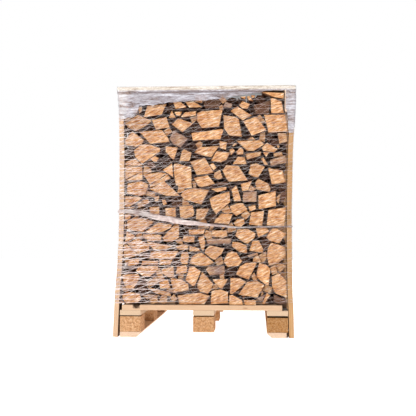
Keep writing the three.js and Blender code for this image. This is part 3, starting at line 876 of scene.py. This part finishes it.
def settle(shapes, spots, turns, sizes, loose, room, steps, gap, swell=1.0):
    """Pushes overlapping outlines apart until they only touch. In each step every pair that overlaps is
    moved and turned apart along its shallowest direction, and pieces stay between the posts, on the
    deck and under the top line. Loose pieces may swell a little each step while nothing presses on them."""
    left, right, floor, top = room
    radius = np.linalg.norm(shapes, axis=2).max(1)
    for _ in range(steps):
        world = placed(shapes, spots, turns, sizes)
        reach = radius * sizes
        apart = np.linalg.norm(spots[:, None] - spots[None], axis=2)
        first, second = np.nonzero(np.triu(apart < reach[:, None] + reach[None] + gap, 1))
        depth, normal, touch = deepest_overlap(world[first], world[second])
        hit = depth > -gap
        first, second, normal, touch = first[hit], second[hit], normal[hit], touch[hit]
        depth = depth[hit] + gap
        moves = np.zeros_like(spots)
        twists = np.zeros(len(spots))
        count = np.ones(len(spots))
        pressed = np.zeros(len(spots))
        share = loose[first] + loose[second] + 1e-9
        for who, sign, mine in ((first, -1, loose[first]), (second, 1, loose[second])):
            arm = touch - spots[who]
            lever = arm[:, 0] * normal[:, 1] - arm[:, 1] * normal[:, 0]
            inertia = (reach[who] ** 2) * 0.4
            push = depth * mine / share / (1 + lever ** 2 / inertia)
            np.add.at(moves, who, sign * push[:, None] * normal)
            np.add.at(twists, who, sign * push * lever / inertia)
            np.add.at(count, who, 0.35)
            np.maximum.at(pressed, who, depth)
        spots = spots + moves / count[:, None]
        turns = turns + np.clip(twists / count, -0.05, 0.05)
        world = placed(shapes, spots, turns, sizes)
        high = top(spots[:, 0])
        for axis, sign, limit in ((0, 1, left(spots[:, 1])), (0, -1, -right(spots[:, 1])),
                                  (1, 1, np.full(len(spots), floor)), (1, -1, -high)):
            over = limit - (sign * world[..., axis]).min(1)
            over = np.clip(over, 0, None)
            spots[:, axis] += sign * over
            pressed = np.maximum(pressed, over)
        if swell > 1:
            grow = (pressed < gap * 1.2) & (loose > 0.5)
            sizes = np.where(grow, sizes * swell, np.where(loose > 0.5, sizes * 0.994, sizes))
    return spots, turns, sizes


def room_for_logs(row):
    """The space of one row: between the posts or rails, on the deck and under an uneven top line."""
    low, high = box_arrays(f"log_row_{row}")

    def left(level):
        return np.where(level > 1.06, -0.357, bow(-1, level) + 0.026)

    def right(level):
        return np.where(level > 1.06, 0.380, bow(1, level) - 0.026)

    def top(x):
        return high[2] - 0.012 + 0.010 * smooth_noise(x, 0.09, row)
    return left, right, low[2] + 0.001, top


def splinters_at_post(world, left):
    """Splinters wedged in the notches between the left post and the logs beside it: triangles whose base
    lies on the post, found by looking along level lines for the nearest log."""
    levels = np.arange(0.158, 1.055, 0.002)
    edge = np.roll(world, -1, 1) - world
    share = (levels[:, None, None] - world[None, ..., 1]) / edge[None, ..., 1]
    crossing = world[None, ..., 0] + edge[None, ..., 0] * share
    crossing = np.where((share >= 0) & (share <= 1), crossing, 1.0)
    clear = crossing.min((1, 2)) - left(levels)
    found, start = [], None
    for k in range(len(levels)):
        wide = clear[k] > 0.0025 and k < len(levels) - 1
        if wide and start is None:
            start = k
        pinched = start is not None and k - start > 8 and clear[k] < clear[start:k].max() * 0.5
        if start is not None and (not wide or pinched):
            run = slice(start, k)
            tip = start + int(clear[run].argmax())
            reach = min(clear[tip], 0.06) * 0.9
            if k - start > 3:
                corners = [(left(levels[start]), levels[start]), (left(levels[k - 1]), levels[k - 1]),
                           (left(levels[tip]) + reach, levels[tip])]
                found.append(rounded_hull([(float(x), float(z)) for x, z in corners]))
            start = None
    return np.array(found)


SCATTERED = 9000            # points that look for gaps between the listed logs
MOST_FILLERS = 150
SMALLEST_GAP = 7.5 * MM     # radius of the smallest gap that is filled


def pack_front(random):
    """The front row: the logs listed above, and small recessed ones in the gaps between them. A gap is
    filled where a scattered point lies furthest from every outline. The listed logs that touch the left
    post and the deck are first moved up to them."""
    hulls = np.array([rounded_hull([c for c in log if c not in SHADES]) for log in FRONT_LOGS]) * CM
    hulls[..., 0] -= 4 * MM * np.clip((-0.33 - hulls[..., 0]) / 0.04, 0, 1)
    hulls[..., 1] -= 5 * MM * np.clip((0.175 - hulls[..., 1]) / 0.01, 0, 1)
    spots = hulls.mean(1)
    shapes = hulls - spots[:, None]
    count = len(hulls)
    room = room_for_logs(1)
    left, right, _, top = room
    turns = np.zeros(count)
    sizes = np.ones(count)
    spots, turns, sizes = settle(shapes, spots, turns, sizes, np.ones(count) * 0.2, room, 60, 0.3 * MM)
    sizes = sizes * 0.998
    edge_fill = splinters_at_post(placed(shapes, spots, turns, sizes), left)
    seeds = random.uniform((-0.40, 0.16), (0.40, 1.16), (SCATTERED, 2))
    inside = (seeds[:, 0] > left(seeds[:, 1]) + 0.01) & (seeds[:, 0] < right(seeds[:, 1]) - 0.01)
    seeds = seeds[inside & (seeds[:, 1] < top(seeds[:, 0]) - 0.006)]
    world = placed(shapes, spots, turns, sizes)
    edge = np.roll(world, -1, 1) - world
    normal = np.stack([edge[..., 1], -edge[..., 0]], -1)
    normal /= np.maximum(np.linalg.norm(normal, axis=2, keepdims=True), 1e-9)
    offset = (normal * world).sum(2)
    clear = (np.einsum("nkc,sc->snk", normal, seeds) - offset[None]).max(2).min(1)
    added = []
    while len(added) < MOST_FILLERS:
        best = int(clear.argmax())
        if clear[best] < SMALLEST_GAP:
            break
        added.append((seeds[best], clear[best]))
        clear = np.minimum(clear, np.linalg.norm(seeds - seeds[best], axis=1) - clear[best] * 0.9)
    fill = len(added)
    shapes = np.concatenate([shapes, [random_outline(random) for _ in range(fill)]])
    spots = np.concatenate([spots, [a[0] for a in added]])
    turns = np.concatenate([turns, random.uniform(0, 6.28, fill)])
    sizes = np.concatenate([sizes, [a[1] * 0.9 for a in added]])
    loose = np.concatenate([np.zeros(count), np.ones(fill)])
    spots, turns, sizes = settle(shapes, spots, turns, sizes, loose, room, 90, 1.2 * MM, 1.02)
    return np.concatenate([placed(shapes, spots, turns, sizes), edge_fill]), count


def pack_row(row, random):
    """A row from nothing: outlines scattered on a jittered grid, swollen until they jam against each
    other, the posts and the deck. The back row's gaps beside the posts are closed with splinters."""
    room = room_for_logs(row)
    pitch = 0.064
    x, z = np.meshgrid(np.arange(-0.345, 0.37, pitch), np.arange(0.19, 1.14, pitch))
    spots = np.stack([x.ravel(), z.ravel()], -1)
    spots = spots + random.uniform(-0.4, 0.4, spots.shape) * pitch
    count = len(spots)
    shapes = np.array([random_outline(random) for _ in range(count)])
    turns = random.uniform(0, 6.28, count)
    goal = random.lognormal(0, 0.28, count)
    sizes = 0.022 * goal
    spots, turns, sizes = settle(shapes, spots, turns, sizes, np.ones(count), room, 150, 1.2 * MM, 1.012)
    world = placed(shapes, spots, turns, sizes)
    if row < 4:
        return world
    turned = world[:, ::-1] * (-1, 1)
    at_right = splinters_at_post(turned, lambda level: -room[1](level))[:, ::-1] * (-1, 1)
    return np.concatenate([world, splinters_at_post(world, room[0]), at_right])


# How far each of a log's ten stations draws in, which of them belong to a cut end, and where bark shows
SHRINK = np.array([0.45, 0.80, 0.994, 1.0, 1.0, 1.0, 1.0, 0.994, 0.80, 0.45])
CUT_ENDS = np.array([1, 1, 1, 0, 0, 0, 0, 1, 1, 1.0])
BARK_SHOWS = np.array([0, 0, 0.55, 1, 1, 1, 1, 0.55, 0, 0])


def log_surface(outlines, front, back_limit, random):
    """Points of logs in a row, and the middle of both ends of each. A log is its outline carried from the
    front to the back: every edge in three uneven steps, and through a frayed rim and two inner rings at
    each end. It leans a little, and its ends are sawn a little askew."""
    count = len(outlines)
    step = np.arange(3) / 3
    edges = np.roll(outlines, -1, 1) - outlines
    ring = (outlines[:, :, None] + edges[:, :, None] * step[None, None, :, None]).reshape(count, -1, 2)
    sides = ring.shape[1]
    middle = outlines.mean(1)
    away = ring - middle[:, None]
    distance = np.linalg.norm(away, axis=2)
    away_unit = away / np.maximum(distance, 1e-9)[..., None]
    rough = random.normal(0, 1.0, (count, sides)) * np.tile([0.2, 1.0, 1.0], CORNERS) * 0.5 * MM
    back = back_limit - random.uniform(0, 0.012, count)
    along = np.stack([front, front, front, front + 2 * MM, front + (back - front) * 0.35,
                      front + (back - front) * 0.7, back - 2 * MM, back, back, back], 1)
    lean = random.normal(0, 1.2 * MM, (count, 2))
    reach = (along - front[:, None]) / 0.29
    wobble = random.normal(0, 0.3 * MM, (count, 10, sides))
    wobble[:, :2] = 0
    wobble[:, -2:] = 0
    grow = SHRINK[None, :, None] * distance[:, None] - np.abs(rough[:, None] + wobble)
    points = np.empty((count, 10, sides, 3))
    for axis, way in ((0, 0), (2, 1)):
        shift = (reach * lean[:, way:way + 1])[..., None]
        points[..., axis] = middle[:, None, None, way] + away_unit[:, None, :, way] * grow + shift
    points[..., 1] = along[..., None]
    saw = random.normal(0, 0.02, (count, 2, 2))
    for end, stations in enumerate((slice(0, 3), slice(7, 10))):
        tilt = (points[:, stations, :, 0] - middle[:, None, None, 0]) * saw[:, end, 0, None, None]
        tilt = tilt + (points[:, stations, :, 2] - middle[:, None, None, 1]) * saw[:, end, 1, None, None]
        points[:, stations, :, 1] += tilt if end == 0 else -np.abs(tilt)
    return points, np.stack([points[:, 0].mean(1), points[:, -1].mean(1)], 1), ring


def log_faces(count, sides):
    """The sides of the logs, and the fans that close their ends on the middles, which are stored last."""
    side = np.arange(sides)
    following = (side + 1) % sides
    first = (np.arange(count) * 10 * sides)[:, None]
    last = first + 9 * sides
    hub = count * 10 * sides + np.arange(count)[:, None] * 2 + 0 * side
    front = np.stack([hub, first + following, first + side], -1)
    back = np.stack([hub + 1, last + side, last + following], -1)
    fans = np.concatenate([front.reshape(-1, 3), back.reshape(-1, 3)])
    return reverse(tube_faces(count, 10, sides, closed_ends=False) + [fans])


def log_row(row, outlines, face_in, tones, greys, barks, material, random, bark_and_shade=0.0):
    """One row as a joined mesh, with the colours and the grain of each log. The pith lies beside one
    corner, so the rings are arcs across the end, and bark lies on the edges that are furthest from it."""
    low, high = box_arrays(f"log_row_{row}")
    count = len(outlines)
    points, centres, ring = log_surface(outlines, low[1] + face_in, high[1], random)
    sides = ring.shape[1]
    middle = outlines.mean(1)
    corner = outlines[np.arange(count), random.integers(0, CORNERS, count)]
    pith = middle + (corner - middle) * random.uniform(0.6, 1.9, (count, 1))
    shift = random.uniform(0, 60, count)[:, None]

    def grain_at(places):
        return np.stack([
            places[..., 1] + shift, places[..., 0] - pith[:, :1], places[..., 2] - pith[:, 1:],
        ], -1).reshape(-1, 3)

    far = np.linalg.norm(ring - pith[:, None], axis=2)
    barky = (far > np.quantile(far, 0.62, axis=1)[:, None]) & barks[:, None]
    bark_and_shade = np.broadcast_to(bark_and_shade, (count,))
    tint = np.ones((count, 10, sides, 4))
    tint[..., 0] = tones[:, None, None]
    tint[..., 1] = greys[:, None, None]
    # the third shade value: painted shade on the deep fillers, whose whole ends take the bark colour, and the
    # same dark crust on the logs listed as dark; otherwise bark shows only on the round side
    tint[..., 2] = np.maximum(barky[:, None] * BARK_SHOWS[None, :, None], bark_and_shade[:, None, None])
    hub_tint = np.stack([tones, greys, bark_and_shade, np.ones(count)], -1)[:, None].repeat(2, 1)
    cut = np.broadcast_to(CUT_ENDS[None, :, None], (count, 10, sides))
    # painted shade: the split sides are painted nearly black where the log lies inside the stack, and left
    # lighter on the logs that show at the sides of the stack
    reach = np.abs(outlines[..., 0] - LOAD_MIDDLE).max(1)
    buried = np.repeat(np.clip((0.372 - reach) / 0.02, 0, 1), 10 * sides)
    return make_piece(
        f"split_logs_row_{row}", np.concatenate([points.reshape(-1, 3), centres.reshape(-1, 3)]),
        log_faces(count, sides), material, "split_log", [f"log_row_{row}"],
        grain=np.concatenate([grain_at(points.reshape(count, -1, 3)), grain_at(centres)]),
        tint=np.concatenate([tint.reshape(-1, 4), hub_tint.reshape(-1, 4)]),
        cut=np.concatenate([cut.ravel(), np.ones(count * 2)]),
        buried=np.concatenate([buried, np.ones(count * 2)]),
    )


def add_logs(material):
    """All four rows. The front row's listed logs stand a little proud. Its gaps go deep, apart from small
    pieces near the front, which are more common low down."""
    random = np.random.default_rng(7)
    outlines, listed = pack_front(random)
    count = len(outlines)
    fill = count - listed
    face_in = np.where(np.arange(count) < listed, random.uniform(0.0, 0.010, count),
                       random.uniform(0.035, 0.10, count))
    shades = [SHADES[log[-1] if log[-1] in SHADES else "plain"] for log in FRONT_LOGS]
    chance = np.interp(outlines[listed:, :, 1].mean(1), [0.3, 0.9], [0.5, 0.18])
    at_face = random.random(fill) < chance
    face_in[listed:] = np.where(at_face, random.uniform(0.008, 0.022, fill), face_in[listed:])
    shades = np.array(shades + [AT_FACE if front else DEEP_IN_SHADED for front in at_face])
    tones = shades[:, 0] + random.normal(0, 0.035, count)
    greys = np.clip(shades[:, 1] + random.normal(0, 0.04, count), 0, 1)
    face_in[:listed] += np.where(shades[:listed, 2] > 0, 0.012, 0)
    barks = random.random(count) < 0.3
    log_row(1, outlines, face_in, tones, greys, barks, material, random, shades[:, 2])
    for row in (2, 3, 4):
        outlines = pack_row(row, random)
        count = len(outlines)
        tones = np.clip(random.normal(0.5, 0.07, count), 0.3, 0.66)
        greys = np.where(random.random(count) < 0.12, random.uniform(0.4, 0.9, count), 0.05)
        barks = random.random(count) < 0.35
        log_row(row, outlines, random.uniform(0, 0.016, count), tones, greys, barks, material, random)


# ---------------------------------------------------------------- net

WIDE, DEEP = 0.835, 1.2        # the load's nominal girth, along the front and along a side
CORNER = 0.003                 # radius at which the net turns round a post


def girth_point(s, level, out, left=None, right=None):
    """A point on the load's girth: s metres round from the front left corner, at a level, a little way
    out. The girth is the front, a quarter turn round the post, the right side, and so on. The left and
    right faces follow the bow of the posts unless they are given."""
    turn = CORNER * math.pi / 2
    stops = np.cumsum([0, WIDE, turn, DEEP, turn, WIDE, turn, DEEP, turn])
    s = np.mod(s, stops[-1])
    across = np.interp(s, stops, [-1, 1, 1, 1, 1, -1, -1, -1, -1])
    deep = np.interp(s, stops, [-1, -1, -1, 1, 1, 1, 1, -1, -1])
    angle = np.interp(s, stops, np.array([-1, -1, 0, 0, 1, 1, 2, 2, 3]) * math.pi / 2)
    left = bow(-1, level) if left is None else left
    right = bow(1, level) if right is None else right
    x = (left + right) / 2 + across * ((right - left) / 2 - CORNER) + np.cos(angle) * (CORNER + out)
    y = deep * (DEEP / 2 - CORNER) + np.sin(angle) * (CORNER + out)
    return np.stack([x, y, level], -1), np.stack([np.cos(angle), np.sin(angle), np.zeros_like(angle)], -1)


GIRTH = 2 * (WIDE + DEEP) + 4 * CORNER * math.pi / 2


def steps_round(front, step):
    """Distances round the girth: one every front metres across the front face, every step metres on the
    other sides, and three round each corner."""
    turn = CORNER * math.pi / 2
    ends = np.cumsum([WIDE, turn + DEEP, turn + WIDE, turn + DEEP])
    corners = (ends[:, None] + [0, turn / 2, turn]).ravel()[:-1]
    places = np.concatenate([np.arange(0, WIDE - front / 2, front), corners])
    for start, length in ((ends[0] + turn, DEEP), (ends[1] + turn, WIDE), (ends[2] + turn, DEEP)):
        places = np.concatenate([places, start + np.arange(step, length - step / 2, step)])
    return np.sort(places)


def ribbons(name, s, levels, outs, width, thick, material, slot, replaces=(), lit=1.0):
    """Closed ribbons round the load. levels and outs have one row per ribbon and one column per distance
    s round the girth; the section is a flat diamond, width up and down and thick outwards."""
    strips, steps = levels.shape
    centre, outward = girth_point(np.broadcast_to(s, levels.shape), levels, outs)
    width = np.broadcast_to(width, levels.shape)[..., None]
    up = np.array([0, 0, 1.0])
    section = [outward * thick / 2, up * width / 2, -outward * thick / 2, -up * width / 2]
    points = np.stack([centre + part for part in section], 2)
    shade = np.broadcast_to(np.broadcast_to(lit, levels.shape)[..., None], levels.shape + (4,))
    return make_piece(name, points.reshape(-1, 3),
                      tube_faces(strips, steps, 4, closed_ends=False, closed_loop=True), material, slot,
                      replaces, smooth=True, lit=shade.ravel())


def net_levels(base, s, seed, sway):
    """Levels of wavy threads round the load: a slow drift that they share, and waves of 70 to 30 mm that
    differ from thread to thread."""
    shared = sway * np.sin(2 * math.pi * s / GIRTH + seed)[None] + 0.005 * smooth_noise(s, 0.16, seed)[None]
    own = 0.0030 * smooth_noise(s[None] + base[:, None] * 9, 0.045, seed + 1)
    fine = 0.0012 * smooth_noise(s[None] + base[:, None] * 37, 0.011, seed + 2)
    return base[:, None] + shared + own + fine


def veil(levels, s):
    """How densely the net bunches: most along the front left post and over the lower left of the front,
    least at the upper right, and an even middling amount on the other sides."""
    place, outward = girth_point(np.broadcast_to(s, levels.shape), levels, 0.0)
    x = place[..., 0]
    post = 1.1 * np.exp(-((x + 0.425) / 0.03) ** 2)
    edge = 0.45 * np.exp(-((x + 0.42) / 0.16) ** 2)
    low = 0.9 * np.exp(-((x + 0.27) / 0.20) ** 2 - ((levels - 0.35) / 0.17) ** 2)
    middle = 0.25 * np.exp(-((x + 0.25) / 0.18) ** 2 - ((levels - 0.72) / 0.16) ** 2)
    facing = np.clip(-outward[..., 1], 0, 1)
    return (post + edge + low + middle) * facing + 0.3 * (1 - facing)


# The two turns of net: how far apart the pillar threads are and where the lowest one lies, how far they
# sway, the length of one laid stitch, and the width of a thread where the net is thin and where it bunches
TURNS = [(0.0208, 0.166, 0.004, 0.048, 1.0, 1.9), (0.0270, 0.178, 0.016, 0.085, 0.15, 2.3)]
NET_LOW, NET_HIGH = 0.158, 1.149
CLIMB = 0.82                # share of a laid stitch that climbs, before it drops back


def add_net(material):
    """Knitted pallet net in two turns: pillar threads about 21 mm apart round the load, each a little wavy,
    and laid threads that climb to the right from one pillar to the next and drop back steeply. The second
    turn only shows where the net bunches."""
    random = np.random.default_rng(31)
    s = steps_round(0.005, 0.022)
    for turn, (pitch, start, sway, run, least, most) in enumerate(TURNS):
        count = int((1.148 - start) / pitch)
        base = start + np.arange(count) * pitch + random.uniform(-0.12, 0.12, count) * pitch
        levels = np.clip(net_levels(base, s, 50 + 10 * turn, sway), NET_LOW, NET_HIGH)
        out = (0.9 + 1.2 * turn) * MM + np.zeros_like(levels)
        dense = veil(levels, s)
        wide = (least + most * dense) * MM * random.uniform(0.7, 1.3, (count, 1))
        # painted light and shade: threads are painted brighter where the net bunches and darker where it is
        # thin
        lit = np.clip(0.74 + 0.35 * dense, 0, 1.0)
        ribbons(f"net_pillars_{turn + 1}", s, levels, out, wide, 0.5 * MM, material, "net_thread",
                ["net_wrap"] if turn == 0 else [], lit=lit)
        phase = random.uniform(0, 1, (count, 1))
        place = s[None] / run + phase + 0.35 * smooth_noise(s[None] + base[:, None] * 5, 0.08, 70 + turn)
        stitch = place % 1.0
        weave = np.where(stitch < CLIMB, stitch / CLIMB, (1 - stitch) / (1 - CLIMB))
        above = np.roll(levels, -1, 0)
        above[-1] = levels[-1] + pitch * 0.5
        laid = np.clip(levels + (above - levels) * weave, NET_LOW, NET_HIGH)
        ribbons(f"net_laid_{turn + 1}", s, laid, out + 0.3 * MM, np.minimum(wide, 1.8 * MM), 0.4 * MM,
                material, "net_thread", lit=lit)


# The gathered edge of the net across the front: (x, level) in millimetres
BAND_FRONT = [(-430, 600), (-408, 600), (-365, 598), (-228, 568), (-104, 549), (22, 534), (146, 522),
              (396, 526), (430, 526)]


def add_band(gathered, loose):
    """The net's gathered edge: threads that wind round a common line, thick and white left of the middle
    and thinning to the right, with a fringe of looser threads above its left half."""
    random = np.random.default_rng(41)
    threads, fringe = 24, 14
    s = steps_round(0.004, 0.015)
    table = np.array(BAND_FRONT) * MM
    ground, outward = girth_point(s, np.full(len(s), 0.56), 0.0)
    x = ground[:, 0]
    line = np.interp(x, table[:, 0], table[:, 1]) + 1.5 * MM * smooth_noise(s, 0.05, 42)
    places = [-0.43, -0.38, -0.30, -0.22, -0.05, 0.06, 0.18, 0.43]
    spread = np.interp(x, places, [9, 6, 6, 11, 10, 5, 2.6, 3]) * MM
    twist = random.uniform(0.25, 0.7, (threads, 1))
    turn = s[None] * 2 * math.pi / twist + random.uniform(0, 6.28, (threads, 1))
    size = np.sqrt(random.uniform(0.02, 1, (threads, 1)))
    levels = line + spread * size * np.sin(turn)
    stand = np.interp(x, [-0.43, -0.2, 0.1, 0.3], [3.5, 5, 4, 2.2]) * MM
    outs = np.maximum(stand + spread * 0.5 * size * np.cos(turn), 1.5 * MM)
    wide = np.interp(x, places, [3, 2.4, 2.6, 4.4, 4.0, 2.2, 1.2, 0.8]) * MM
    # painted shade: the band is painted darker towards the right, and on the sides and back
    lit = np.interp(x, places, [1.0, 0.75, 0.62, 1.0, 1.0, 0.7, 0.5, 0.36])
    lit = np.where(outward[:, 1] < 0, lit, 0.8)
    ribbons("gathered_net_band", s, levels, outs, wide[None], 1.5 * MM, gathered, "net_thread",
            ["gathered_band"], lit=lit[None] * random.uniform(0.85, 1.05, (threads, 1)))
    lift = np.interp(x, [-0.43, -0.36, -0.30, -0.16, -0.04, 0.1], [6, 10, 15, 16, 5, 2]) * MM
    ripple = 1.5 * MM * smooth_noise(s[None] + np.arange(fringe)[:, None], 0.03, 43)
    rise = line + lift * np.linspace(0.1, 1.0, fringe)[:, None] + ripple
    ribbons("gathered_net_fringe", s, rise, np.full(rise.shape, 3.2 * MM), 1.7 * MM, 0.5 * MM, loose,
            "net_thread", lit=0.75)


# Lower edge of the film across the front: (x, level) in millimetres
HEM_FRONT = [(-430, 1045), (-385, 1043), (-372, 1048), (-327, 1072), (-322, 1106), (-250, 1108), (-190, 1119),
             (72, 1134), (155, 1148), (272, 1165), (300, 1174), (388, 1174), (391, 1082), (401, 1074),
             (404, 1000), (412, 972), (440, 968)]


UNDER_BARS = 1.178             # level at which the film starts to draw in below the crossbars
FILM_OVER, FILM_DOWN = 18, 30  # rings from the middle of the top to its rim, and from there to the hem


def film_hem(s, rim, outward):
    """The level of the hem: as listed across the front, and ragged elsewhere, lowest just round the front
    right corner."""
    table = np.array(HEM_FRONT) * MM
    at_front = np.clip(-outward[:, 1], 0, 1) ** 2
    at_right = np.clip(outward[:, 0], 0, 1) ** 2
    ragged = 1.078 + 0.018 * smooth_noise(s, 0.12, 71) + 0.008 * smooth_noise(s, 0.02, 72)
    ragged = ragged - at_right * 0.09 * np.clip(1 - (rim[:, 1] + 0.6) / 0.35, 0, 1)
    hem = np.interp(rim[:, 0], table[:, 0], table[:, 1])
    return hem * at_front + ragged * (1 - at_front) + 0.0025 * smooth_noise(s, 0.008, 73)


def film_top(rim, middle, level):
    """Rings of the flat top, from near the middle to the rim. It sags by 24 mm between the crossbars and
    the rails, and slanting creases run through the part that sags."""
    share = np.linspace(0.0, 1.0, FILM_OVER + 1)[1:]
    flat = middle + (rim[None, :, :2] - middle) * share[:, None, None]
    x, y = flat[..., 0], flat[..., 1]
    held = np.clip((np.abs(y) - 0.42) / 0.08, 0, 1)
    held = np.maximum(held, np.clip((np.abs(x) - 0.34) / 0.05, 0, 1) * 0.75)
    crease = 0.0040 * smooth_noise(x * 1.3 + y, 0.045, 74) + 0.0025 * smooth_noise(y * 1.1 - x, 0.021, 77)
    height = np.minimum(level - 0.024 * (1 - held) + crease * (1 - 0.8 * held), level)
    height[-1] = level - 1.2 * MM
    return flat, np.concatenate([flat, height[..., None]], -1)


def film_skirt(s, hem, level, bars):
    """Rings of the skirt, from the rim to the hem. Under the crossbars it draws in smoothly to the posts,
    and vertical folds run through it."""
    fall = np.concatenate([[0.02], np.linspace(0, 1, FILM_DOWN)[1:] ** 0.85])[:, None]
    levels = level + (hem - level) * fall
    drawn = np.clip((UNDER_BARS - levels) / 0.028, 0, 1)
    drawn = drawn * drawn * (3 - 2 * drawn)
    around = np.broadcast_to(s, levels.shape)
    over_bar, way = girth_point(around, levels, 1.6 * MM, *bars)
    on_post, _ = girth_point(around, levels, 3.4 * MM)
    folds = 2.6 * MM * smooth_noise(s[None] + 0.6 * levels, 0.020, 75)
    folds = folds + 1.8 * MM * smooth_noise(s[None] - 1.5 * levels, 0.0075, 76)
    body = over_bar * (1 - drawn[..., None]) + on_post * drawn[..., None]
    return levels, way, body + way * (np.minimum(folds, 2.5 * MM) * drawn)[..., None]


def add_film(material):
    """The film cap: a sheet laid over the crossbars and hung down all round, as a fan of rings. It looks
    thicker where it lies doubled over the crossbars and the posts, and the pattern follows the plan on the
    flat top, and runs round and down on the skirt."""
    low, high = box_arrays("film_cap")
    s = steps_round(0.005, 0.008)
    around = len(s)
    top_level = high[2] - 0.4 * MM
    bars = (low[0] + 0.6 * MM, high[0] - 0.6 * MM)
    middle = np.array([(low[0] + high[0]) / 2, 0.0])
    rim, outward = girth_point(s, np.full(around, 1.19), 1.6 * MM, *bars)
    flat, tops = film_top(rim, middle, top_level)
    levels, way, body = film_skirt(s, film_hem(s, rim, outward), top_level - 1.5 * MM, bars)
    centre = np.array([[middle[0], middle[1], top_level - 0.026]])
    points = np.concatenate([tops.reshape(-1, 3), body.reshape(-1, 3), centre])
    rings = FILM_OVER + FILM_DOWN
    side = np.arange(around)
    fan = np.stack([np.full(around, rings * around), side, (side + 1) % around], -1)
    faces = reverse([tube_faces(1, rings, around, closed_ends=False)[0], fan])

    skirt = slice(FILM_OVER * around, -1)
    cloth = np.zeros((len(points), 3))
    cloth[:skirt.start, :2] = flat.reshape(-1, 2)
    cloth[skirt, 0] = np.broadcast_to(s, levels.shape).ravel()
    cloth[skirt, 1] = levels.ravel()
    cloth[-1, :2] = middle
    near_post = np.clip((np.abs(body[..., 0] - LOAD_MIDDLE) - 0.372) / 0.02, 0, 1)
    near_post = near_post * np.where(body[..., 0] > 0, 0.15, 0.62) * (np.abs(body[..., 1]) > 0.5)
    on_bar = np.clip((levels - 1.179) / 0.004, 0, 1) * np.abs(way[..., 1])
    under = 1.170 + 0.0015 * smooth_noise(s, 0.05, 78)
    doubled, bar, tucked = np.zeros((3, len(points)))
    doubled[:skirt.start] = np.clip((np.abs(flat[..., 1]) - 0.48) / 0.03, 0, 1).ravel()
    doubled[skirt] = np.maximum(near_post, on_bar).ravel()
    bar[skirt] = on_bar.ravel()
    # painted shadow: a dark line just below the crossbars, on the front and back
    tucked[skirt] = (np.exp(-((levels - under) / 0.0035) ** 2) * np.abs(way[..., 1])).ravel()
    piece = make_piece("film_cap_draped", points, faces, material, "clear_film", ["film_cap"], smooth=True,
                       cloth=cloth, doubled=doubled, bar=bar, tucked=tucked)


# ---------------------------------------------------------------- scene

def add_floor(material):
    mesh = bpy.data.meshes.new("floor")
    mesh.from_pydata([(-12, -12, 0), (12, -12, 0), (12, 12, 0), (-12, 12, 0)], [], [(0, 1, 2, 3)])
    mesh.materials.append(material)
    floor = bpy.data.objects.new("floor", mesh)
    floor.location.z = CAD_LOW[2] - 0.5 * MM
    bpy.context.scene.collection.objects.link(floor)


def add_light():
    """A big soft lamp at the front left, weaker ones at the right and the back, and pale surroundings that
    look plain white behind the object but light it more weakly."""
    add_lamp("key", (-2.4, -5.4, 4.0), (0, 0, 0.6), (0.6, 0.6), 270, (1, 0.99, 0.97))
    add_lamp("fill", (3.8, -3.6, 2.2), (0, 0, 0.6), (3, 3), 25)
    add_lamp("back", (1.5, 4.5, 3.5), (0, 0, 0.6), (2, 2), 180)
    world = bpy.data.worlds.new("studio")
    world.use_nodes = True
    tree = world.node_tree
    tree.nodes.clear()
    out = tree.nodes.new("ShaderNodeOutputWorld")
    sky = tree.nodes.new("ShaderNodeBackground")
    sky.inputs["Color"].default_value = (1, 1, 1, 1)
    ray = tree.nodes.new("ShaderNodeLightPath")
    strength = tree.nodes.new("ShaderNodeMath")
    strength.operation = "MULTIPLY_ADD"
    strength.inputs[1].default_value = 0.78
    strength.inputs[2].default_value = 0.22
    tree.links.new(ray.outputs["Is Camera Ray"], strength.inputs[0])
    tree.links.new(strength.outputs[0], sky.inputs["Strength"])
    tree.links.new(sky.outputs[0], out.inputs["Surface"])
    bpy.context.scene.world = world
    bpy.context.scene.view_settings.view_transform = "Standard"


add_camera()
SPRUCE = sawn_spruce("spruce_band_sawn", 0xE3C3A4, 0xD3AD8A, 0xB3855E)
FRESH = sawn_spruce("spruce_band_sawn_fresh", 0xDDC3A6, 0xD0B08E, 0xB48A62)
THREAD = knitted_thread("polyethylene_tape_knitted", 0.6, 1.0)
GATHERED = knitted_thread("polyethylene_tape_gathered", 0.8, 1.0)
add_boards(SPRUCE, FRESH)
add_blocks(pressed_chipboard())
add_logs(split_log_wood())
add_net(THREAD)
add_band(GATHERED, THREAD)
add_film(clear_film())
add_floor(pale_floor())
add_light()
